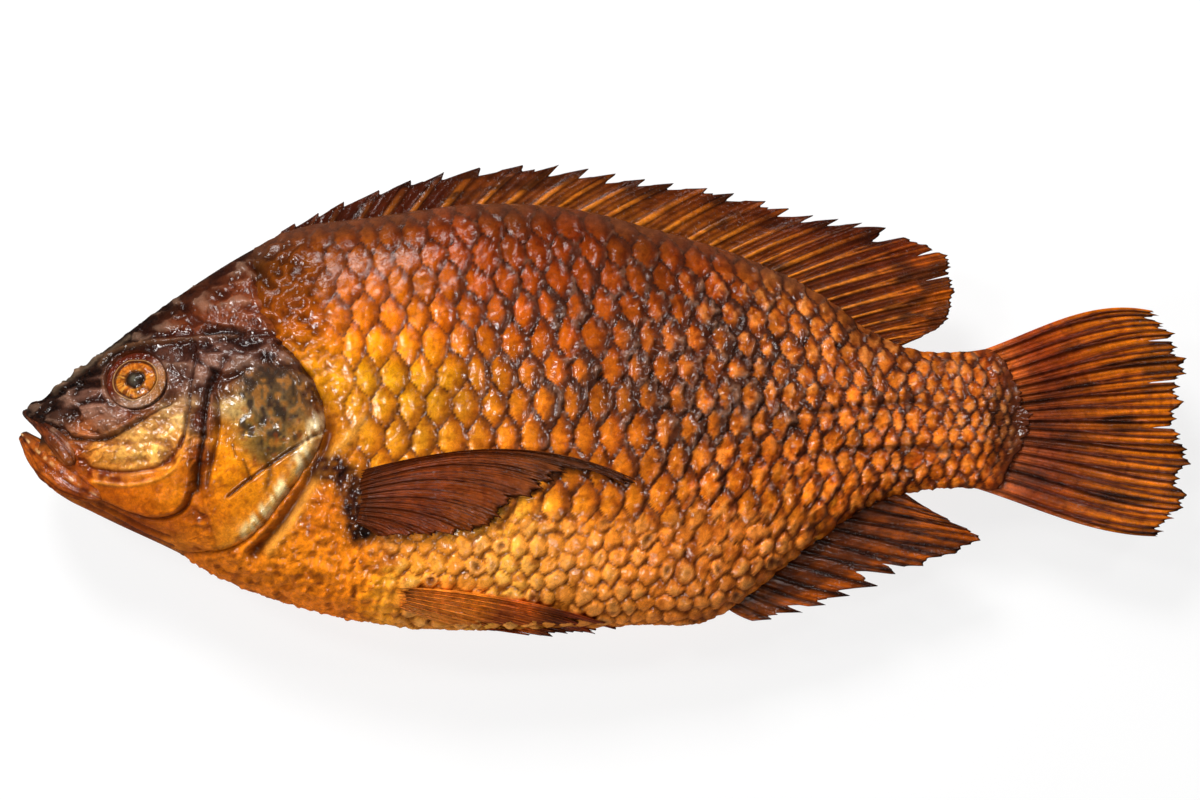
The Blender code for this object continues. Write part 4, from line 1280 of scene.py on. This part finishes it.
# Each fin: plan curves of its root and of its tip, mm, from the front ray to the rear ray; how far
# its rays bow sideways, mm, at shares of the fin's width, and the power that moves the bow towards
# the tip; how many rays it has and how many of them are spines; how deep the edge is notched
# between tips, as a share of the rays' length; half-thicknesses of rays and skin, mm; its grid and
# first seed; and its colours, with the shares that rays and gaps take at the root and at the tip
DORSAL = {
    "root": (
        (64, 43.5), (80, 47.5), (101, 51.3), (122.5, 52.5), (140.5, 51.2), (162.5, 46.4), (178, 41.5),
        (189.5, 37.0), (198.5, 32.0), (208, 25.5), (217, 20.2), (225, 16.3),
    ),
    "tip": (
        (67, 50.2), (86.5, 58.6), (112.5, 65.6), (140.2, 66.9), (162.7, 63.2), (185.7, 59.4),
        (205.3, 54.0), (223.4, 50.6), (240, 44.2), (242.5, 34.5), (238.5, 24.6), (226.5, 19.0),
    ),
    "bow": ((0, 0.0), (0.7, 0.6), (1, 0.0)), "bend": 1,
    "rays": 32, "spines": 21.0,
    "notch": ((0, 0.20), (0.5, 0.16), (0.6, 0.14), (0.67, 0.06), (1, 0.05)),
    "ray": 0.60, "membrane": 0.30, "columns": 448, "rows": 84, "seed": 1000,
    "tints": (
        (75, 49, 8, (74, 34, 24)), (100, 53, 7, (104, 46, 24)), (100, 60, 6, (56, 22, 14)),
        (125, 55, 6, (186, 104, 40)), (125, 63, 6, (104, 40, 16)), (150, 53, 6, (196, 112, 40)),
        (152, 62, 6, (92, 34, 14)), (175, 47, 6, (196, 110, 36)), (178, 57, 7, (110, 44, 14)),
        (205, 50, 7, (116, 48, 16)), (197, 38, 6, (176, 92, 30)), (210, 34, 7, (112, 50, 20)),
        (228, 42, 6, (116, 44, 14)), (236, 33, 6, (196, 98, 18)), (225, 24, 6, (130, 62, 20)),
        (232, 22, 4, (170, 84, 20)),
    ),
    "ray_tint": (206, 122, 40), "ray_share": (0.85, 0.10), "gap_tint": (66, 20, 8), "gap_share": (0.80, 0.6),
    "burnt": (0.15, 0.85),
}
ANAL = {
    "root": (
        (179.5, -46.5), (185, -43), (191, -39.5), (198, -34.5), (205, -29.5), (211.5, -25),
        (218, -20.5), (225, -17.5),
    ),
    "tip": (
        (190, -52.2), (203, -49.3), (213.5, -45.6), (225.5, -41.6), (236.5, -37.2), (247.4, -30.8),
        (240.5, -26.2), (230.5, -21.2),
    ),
    "bow": ((0, -0.8), (1, 0.4)), "bend": 1,
    "rays": 12, "spines": 5.0,
    "notch": ((0, 0.26), (0.2, 0.24), (0.45, 0.17), (0.6, 0.06), (1, 0.05)),
    "ray": 0.95, "membrane": 0.30, "columns": 180, "rows": 84, "seed": 1100,
    "tints": (
        (186, -45, 5, (150, 78, 26)), (197, -43, 6, (100, 46, 20)), (212, -36, 7, (74, 34, 24)),
        (226, -31, 7, (70, 32, 24)), (222, -20, 6, (150, 72, 24)), (240, -32, 5, (128, 58, 20)),
        (236, -24, 5, (168, 84, 24)), (222, -41, 5, (110, 50, 20)), (205, -28, 5, (150, 74, 28)),
    ),
    "ray_tint": (38, 19, 16), "ray_share": (0.9, 0.8), "gap_tint": (214, 106, 16), "gap_share": (0.18, 0.7),
    "burnt": (-0.12, 0.9),
}
TAIL = {
    "root": ((241, 16.2), (247, 10), (250, 5), (250, 0), (250, -5), (247, -10), (241, -16.2)),
    "tip": (
        (296.5, 27.4), (301.5, 21.0), (302.5, 11.5), (299.8, 0.5), (302.5, -11.0), (302.5, -21.5),
        (295.5, -30.0),
    ),
    "bow": ((0, 8.4), (0.25, 2.6), (0.5, 0.0), (0.75, -1.4), (1, -4.4)), "bend": 2,
    "rays": 17, "spines": 0.0,
    "notch": ((0, 0.03), (1, 0.03)),
    "ray": 0.95, "membrane": 0.28, "columns": 306, "rows": 120, "seed": 1200,
    "tints": (
        (252, 10, 6, (226, 120, 60)), (252, -8, 6, (214, 112, 64)), (266, 16, 6, (126, 36, 10)),
        (280, 24, 6, (104, 32, 12)), (268, 4, 7, (116, 50, 28)), (284, 8, 6, (150, 66, 18)),
        (296, 14, 5, (176, 92, 26)), (296, 24, 4, (190, 104, 30)), (284, -4, 6, (126, 54, 24)),
        (268, -12, 7, (116, 50, 30)), (270, -20, 6, (130, 44, 14)), (284, -18, 6, (84, 36, 28)),
        (296, -12, 5, (104, 50, 38)), (290, -26, 5, (130, 60, 30)), (298, 0, 4, (150, 74, 24)),
        (262, 22, 5, (146, 54, 18)),
    ),
    "ray_tint": (70, 30, 24), "ray_share": (0.8, 0.85), "gap_tint": (236, 128, 12), "gap_share": (0.05, 0.95),
    "burnt": (0.0, 0.92),
}
PECTORAL = {
    "root": ((80.5, -14.2), (82.5, -17.8), (84.0, -22.0), (85.5, -26.5)),
    "tip": ((165.0, -19.0), (147.5, -15.6), (134, -19.5), (123.5, -27.0), (110, -30.6), (92.5, -30.4)),
    "bow": ((0, 10.6), (0.35, 6.2), (1, 0.4)), "bend": 1.3,
    "rays": 15, "spines": 0.0,
    "notch": ((0, 0.02), (1, 0.05)),
    "ray": 0.55, "membrane": 0.35, "columns": 210, "rows": 110, "seed": 1300,
    "tints": (
        (91, -14, 4, (50, 26, 20)), (90, -24, 4, (40, 22, 18)), (88, -19, 4, (34, 18, 15)),
        (98, -20, 4, (112, 50, 22)), (99, -12, 4, (118, 54, 24)), (106, -12, 6, (128, 56, 20)),
        (124, -9, 6, (124, 60, 26)), (142, -11, 6, (96, 54, 32)), (156, -15, 5, (88, 44, 24)),
        (104, -22, 6, (116, 46, 14)), (122, -18, 6, (132, 62, 24)), (134, -16, 4, (140, 76, 40)),
        (116, -27, 4, (146, 72, 24)), (100, -28.5, 4, (140, 60, 16)),
    ),
    "ray_tint": (84, 38, 18), "ray_share": (0.6, 0.35), "gap_tint": (150, 72, 24), "gap_share": (0.35, 0.15),
    "burnt": (0.15, 0.1),
}
PELVIC = {
    "root": ((95.5, -43.6), (96, -45.4), (97, -48.0)),
    "tip": ((155.0, -53.8), (149, -55.0), (138, -56.2), (119, -53.8)),
    "bow": ((0, 2.4), (1, -1.2)), "bend": 1,
    "rays": 7, "spines": 1.0,
    "notch": ((0, 0.04), (1, 0.06)),
    "ray": 0.9, "membrane": 0.35, "columns": 98, "rows": 100, "seed": 1400,
    "tints": (
        (100, -45, 2.6, (64, 28, 16)), (107, -46.6, 3, (250, 146, 48)), (118, -48.0, 3, (252, 142, 40)),
        (130, -51, 3, (226, 108, 32)), (112, -50, 3, (240, 140, 62)), (124, -53, 3, (140, 62, 34)),
        (136, -54.6, 3, (80, 34, 24)), (146, -53.4, 3, (150, 58, 26)), (104, -50.5, 3, (250, 158, 84)),
    ),
    "ray_tint": (244, 130, 44), "ray_share": (0.5, 0.2), "gap_tint": (214, 112, 42), "gap_share": (0.1, 0.1),
    "burnt": (0.15, 0.1),
}


def closed_sheet(name, top, bottom, tint, marks, material):
    """A thin solid from an upper and a lower grid of points that share their rim."""
    rows, columns = top.shape[:2]
    index = numbered(rows, columns)
    below = index.copy()
    below[1:-1, 1:-1] = rows * columns + numbered(rows - 2, columns - 2)
    quads = np.concatenate([grid_quads(index), grid_quads(below)[:, ::-1]])
    points = np.concatenate([top.reshape(-1, 3), bottom[1:-1, 1:-1].reshape(-1, 3)])
    turned = faces_inwards(points, quads)
    quads = quads[:, ::-1] if turned else quads
    half = bake_grid(rows, columns, 0.497)
    upper = half[grid_quads(index)]
    lower = (half + (0.0, 0.5))[grid_quads(index)[:, ::-1]]
    uv = np.concatenate([upper, lower])
    uv = (uv[:, ::-1] if turned else uv).reshape(-1, 2)
    tint = np.concatenate([tint.reshape(-1, 3), tint[1:-1, 1:-1].reshape(-1, 3)])
    marks = {k: np.concatenate([m.ravel(), m[1:-1, 1:-1].ravel()]) for k, m in marks.items()}
    return wrapped(new_mesh(name, points, quads, (), tint, marks, uv), material)


def fin_grid(fin):
    """Plan grid of a fin, with its ray count rho, reach t and the ray's ridge height from 0 to 1.

    Rays stand at half-counts of rho. A spine's tip is bare: the edge of the skin behind it drops
    back by the notch and climbs to the next tip. A soft ray forks in two towards its ragged end.
    """
    seed = fin["seed"]
    share = np.linspace(0, 1, fin["columns"] + 1)[:, None]
    t = np.linspace(0, 1, fin["rows"])[None, :] ** 0.92
    rho = share * fin["rays"]
    rho = rho + 0.10 * swell(rho * 1.1, 0 * rho, seed) * ramp(0, 0.03, share) * ramp(1, 0.97, share)
    number = np.floor(rho)
    part = rho - number
    spiny = ramp(0.35, -0.35, rho - fin["spines"])

    behind = (part - 0.5) % 1.0
    soft_dip = np.abs(np.cos(math.pi * part)) ** 1.5
    spine_dip = np.where(behind < 0.16, behind / 0.16, 1 - 0.92 * ((behind - 0.16) / 0.84) ** 1.25)
    depth = smooth(fin["notch"], share) * (0.7 + 0.6 * chance(number, 0 * number, seed + 1))
    tooth_luck = chance(np.floor(rho * 3 + 0.5), 0 * rho, seed + 2)
    tooth = np.abs(np.cos(3 * math.pi * part)) * (0.1 + 0.9 * tooth_luck)
    frayed = 0.04 * swell(rho * 0.8, 0 * rho, seed + 3) - 0.03 - 0.035 * tooth
    split = ramp(0.72, 0.95, chance(number, 0 * number, seed + 4)) * ramp(0.09, 0.0, np.abs(part - 0.06))
    split = split * 0.16
    reach = 1 - depth * (spine_dip * spiny + soft_dip * (1 - spiny)) + (frayed - split) * (1 - spiny)
    if fin["spines"] > 0:
        reach = reach - 0.16 * bell(rho - fin["spines"] - 0.15, 0.35)
    reach = np.minimum(reach, 1.0)

    root_u, root_v = plan_curve(fin["root"], share)
    tip_u, tip_v = plan_curve(fin["tip"], share)
    length = np.hypot(tip_u - root_u, tip_v - root_v)
    t = t * reach
    bow = 4 * t ** fin["bend"] * (1 - t) * smooth(fin["bow"], share)
    u = root_u + (tip_u - root_u) * t - (tip_v - root_v) / length * bow
    v = root_v + (tip_v - root_v) * t + (tip_u - root_u) / length * bow

    off = np.abs(part - 0.5 + 0.05 * swell(rho, t * 3.0, seed + 5))
    fork = 0.23 * ramp(0.30, 0.85, t) * (1 - spiny)
    off = np.abs(off - fork)
    width = 0.13 - 0.05 * t * (1 - spiny) - 0.01 * spiny * (1 - t)
    ridge = bell(off, width)
    pleats = 0.5 + 0.5 * np.cos(6 * math.pi * part + 1.5 * swell(rho, t * 2, seed + 6))
    return u, v, rho, t, ridge, pleats, spiny, length, share


def make_fin(name, fin, material, height_at, side=1):
    """A fin from its rays: round ridges under a thin skin on both faces, tapering to the edge.

    height_at gives the height of the fin's middle at a plan point and a reach; half is half its
    thickness there, which falls to nought all round.
    """
    u, v, rho, t, ridge, pleats, spiny, length, share = fin_grid(fin)
    seed = fin["seed"]
    taper = 1 - 0.72 * t
    joints = 0.5 + 0.5 * np.sin(t * length * 2.6 + 3 * chance(np.floor(rho), 0 * rho, seed + 7))
    crinkle = drift(rho * 1.6, t * length / 2.2, seed + 8)
    knuckles = 1 + 0.12 * (joints - 0.5) * (1 - spiny)
    half = fin["membrane"] * (0.75 + 0.25 * crinkle) + fin["ray"] * taper * ridge * knuckles
    half = half + 0.16 * pleats * (1 - ridge) * ramp(0.0, 0.2, t)
    outwards = np.linspace(0, 1, t.shape[1])
    edge = np.minimum(ramp(0, 0.012, share), ramp(1, 0.988, share)) * ramp(1.0, 0.97, outwards)
    edge = edge * ramp(0, 0.02, t)
    half = np.maximum(half, 0.12) * edge
    sway = 0.45 * np.sin(2 * math.pi * rho * 0.5 + 1.3) * t
    sway = sway + 0.8 * swell(rho * 0.35, t * 1.4, seed + 9) * t
    height = height_at(u, v, t) + sway

    tint = blended(u, v, fin["tints"]) * (1 + 0.30 * drift(u / 3.0, v / 3.0, seed + 10))[..., None]
    inner, outer = fin["gap_share"]
    share_gap = (inner + (outer - inner) * ramp(0.25, 0.85, t)) * (1 - ridge) * (0.55 + 0.45 * pleats)
    tint = mixed(tint, colour(*fin["gap_tint"]), share_gap)
    inner, outer = fin["ray_share"]
    ray_share = (inner + (outer - inner) * ramp(0.15, 0.85, t)) * (1 - 0.7 * spiny * ramp(0.30, 0.05, share))
    tint = mixed(tint, colour(*fin["ray_tint"]), ridge * ray_share)
    # Painted shade along the foot of each ray, where it meets the skin between rays
    tint = shifted(tint, (0.16, 0.12, 0.11), 0.85 * bell(ridge - 0.22, 0.15))
    # Pale joints along the soft rays, partly painted highlight on their ridges
    tint = shifted(tint, (1.6, 1.6, 1.8), 0.45 * ridge * joints * (1 - spiny))
    speckled = ramp(0.3, 0.7, swell(rho * 3.1, t * length / 1.3, seed + 12))
    tint = shifted(tint, (0.5, 0.36, 0.3), 0.55 * speckled)
    burnt_from, burnt_share = fin["burnt"]
    scorched = drift(rho * 0.9, t * 4.5, seed + 11) + 0.5 * ramp(0.55, 1.0, t)
    smoky = ramp(burnt_from, burnt_from + 0.5, scorched)
    tint = mixed(tint, colour(34, 15, 12), smoky * burnt_share * (0.6 + 0.4 * ridge))
    tint = mixed(tint, colour(30, 12, 8), 0.8 * ramp(0.975, 1.0, outwards) + 0 * t)
    tint = shifted(tint, (0.55, 0.42, 0.36), 0.6 * ramp(0.10, 0.0, t))

    top = place(u, v, side * (height + half))
    bottom = place(u, v, side * (height - half))
    if side < 0:
        top, bottom = bottom, top
    crust = np.clip(0.35 + 0.3 * smoky, 0, 1) + 0 * u
    return closed_sheet(name, top, bottom, tint, {"crust": crust}, material)


def in_middle_plane(u, v, t):
    """Fins on the fish's own ridges."""
    return 0 * u


def tail_sway(u, v, t):
    """The tail's slow wave."""
    return 1.2 * np.sin(v / 9.0) * t


def along_belly(u, v, t):
    """Beside the belly ridge, a little proud of the flank."""
    return 2.9 * ramp(0, 0.16, t) - 1.2 + 0.6 * t + flank(u, np.maximum(v, smooth(BELLY_OUTLINE, u)))


def make_pectoral(side, material):
    """The long breast fin, folded back over the scales of its flank."""
    lift = 2.3 if side > 0 else 0.2

    def skin_height(u, v):
        """Height of the flank that the fin lies on."""
        return flank(u, v) if side > 0 else pressed(flank(u, v))

    def over_scales(u, v, t):
        """The fin rises out of the skin at its root, arches and lies a little proud of the scales."""
        arched = 0.7 * ramp(0.05, 0.25, t) * ramp(0.9, 0.3, t)
        return skin_height(u, v) - 2.4 + (2.4 + lift) * ramp(0, 0.15, t) + arched

    fin = dict(PECTORAL)
    for key in ("root", "tip"):
        u, v, _ = stood(*np.array(PECTORAL[key], float).T, skin_height)
        fin[key] = tuple(zip(u, v))
    name = "pectoral_left" if side > 0 else "pectoral_right"
    return make_fin(name, fin, material, over_scales, side)


# ---------------------------------------------------------------- stage, lights and camera

CAMERA_LENS = 85.0
CAMERA_SENSOR = 36.0
FLOOR_HALF_SIZE = 3.0
FLOOR_GREY = (0.16, 0.16, 0.16, 1)
FLOOR_GLOW = 0.82
SURROUND_GLOW = 0.04
WHITE = (1, 1, 1, 1)
LAMP_TARGET = (0, 0, 0.02)

# Soft boxes: name, place and size in m, power in W, whether the skin mirrors it, whether it lights
LAMPS = (
    ("key_box", (-0.24, 0.62, 0.66), (0.30, 0.22), 9.8, False, True),
    ("side_box", (-0.72, -0.30, 0.55), (0.25, 0.25), 3.5, False, True),
    ("left_glint", (-0.54, 0.26, 0.74), (0.13, 0.18), 2.0, True, True),
    ("back_glint", (-0.30, 0.78, 0.50), (0.36, 0.12), 1.3, True, True),
    ("right_glint", (0.45, 0.30, 0.78), (0.12, 0.12), 1.2, True, True),
    ("belly_glint", (-0.05, -0.52, 0.76), (0.12, 0.09), 0.9, True, False),
)


def aimed(thing, spot, target):
    """Puts a lamp or camera at a spot and turns it to look at the target, its top to the back fin."""
    thing.location = spot
    look = Vector(target) - Vector(spot)
    thing.rotation_euler = look.to_track_quat("-Z", "Y").to_euler()


def make_camera():
    """The long lens that looks down on the fish from a little to the belly side."""
    data = bpy.data.cameras.new("view")
    data.lens = CAMERA_LENS
    data.sensor_width = CAMERA_SENSOR
    data.clip_start = 0.01
    thing = bpy.data.objects.new("view", data)
    bpy.context.scene.collection.objects.link(thing)
    tilt = math.radians(VIEW_ELEVATION)
    middle = Vector(place(*VIEW_MIDDLE, 0.0))
    back = VIEW_DISTANCE * MM * Vector((0, -math.cos(tilt), math.sin(tilt)))
    aimed(thing, middle + back, middle)
    bpy.context.scene.camera = thing


def soft_box(name, spot, size, watts, mirrored, lighting):
    """A rectangular studio lamp turned to the fish, for its light, for its glints, or for both."""
    data = bpy.data.lights.new(name, "AREA")
    data.shape = "RECTANGLE"
    data.size, data.size_y = size
    data.energy = watts
    thing = bpy.data.objects.new(name, data)
    thing.visible_glossy = mirrored
    thing.visible_diffuse = lighting
    bpy.context.scene.collection.objects.link(thing)
    aimed(thing, spot, LAMP_TARGET)


def make_studio():
    """A pale floor that the skin doesn't mirror, a dim even surround and the soft boxes."""
    side = FLOOR_HALF_SIZE
    corners = np.array([(-side, -side, 0), (side, -side, 0), (side, side, 0), (-side, side, 0)])
    floor = new_mesh("floor", corners, np.array([[0, 1, 2, 3]]))
    paper = bpy.data.materials.new("white_paper")
    paper.use_nodes = True
    shader = paper.node_tree.nodes["Principled BSDF"]
    shader.inputs["Base Color"].default_value = FLOOR_GREY
    shader.inputs["Roughness"].default_value = 0.9
    shader.inputs["Emission Color"].default_value = WHITE
    shader.inputs["Emission Strength"].default_value = FLOOR_GLOW
    floor.data.materials.append(paper)
    floor.visible_glossy = False
    world = bpy.data.worlds.new("surround")
    world.use_nodes = True
    background = world.node_tree.nodes["Background"]
    background.inputs["Color"].default_value = WHITE
    background.inputs["Strength"].default_value = SURROUND_GLOW
    bpy.context.scene.world = world
    for lamp in LAMPS:
        soft_box(*lamp)
    bpy.context.scene.view_settings.view_transform = "Standard"


# ---------------------------------------------------------------- the whole

make_camera()
make_studio()
scaled_skin = skin_material("scaled_skin", 0.5, 0.00005, 0.6)
head_skin = skin_material("head_skin", 0.5, 0.00004, 0.8)
lip_skin = skin_material("lip_skin", 0.6, 0.00007, 0.6)
dried_eye = skin_material("dried_eye", 0.2, 0.00004, 0.8)
fin_skin = skin_material("fin_skin", 0.7, 0.00007, 0.35)

for side, hand in ((1, "left"), (-1, "right")):
    flank_skin = trunk(side, f"trunk_{hand}", scaled_skin)
    if side > 0:
        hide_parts("smoked_fish")
    head(side, f"head_{hand}", head_skin)
    make_eye(side, f"eye_{hand}", dried_eye)
    make_pectoral(side, fin_skin)
    make_fin(f"pelvic_{hand}", PELVIC, fin_skin, along_belly, side)
make_jaw("upper_jaw", UPPER_JAW, 800, False, lip_skin)
make_jaw("lower_jaw", LOWER_JAW, 900, True, lip_skin)
make_fin("dorsal_fin", DORSAL, fin_skin, in_middle_plane)
make_fin("anal_fin", ANAL, fin_skin, in_middle_plane)
make_fin("tail_fin", TAIL, fin_skin, tail_sway)
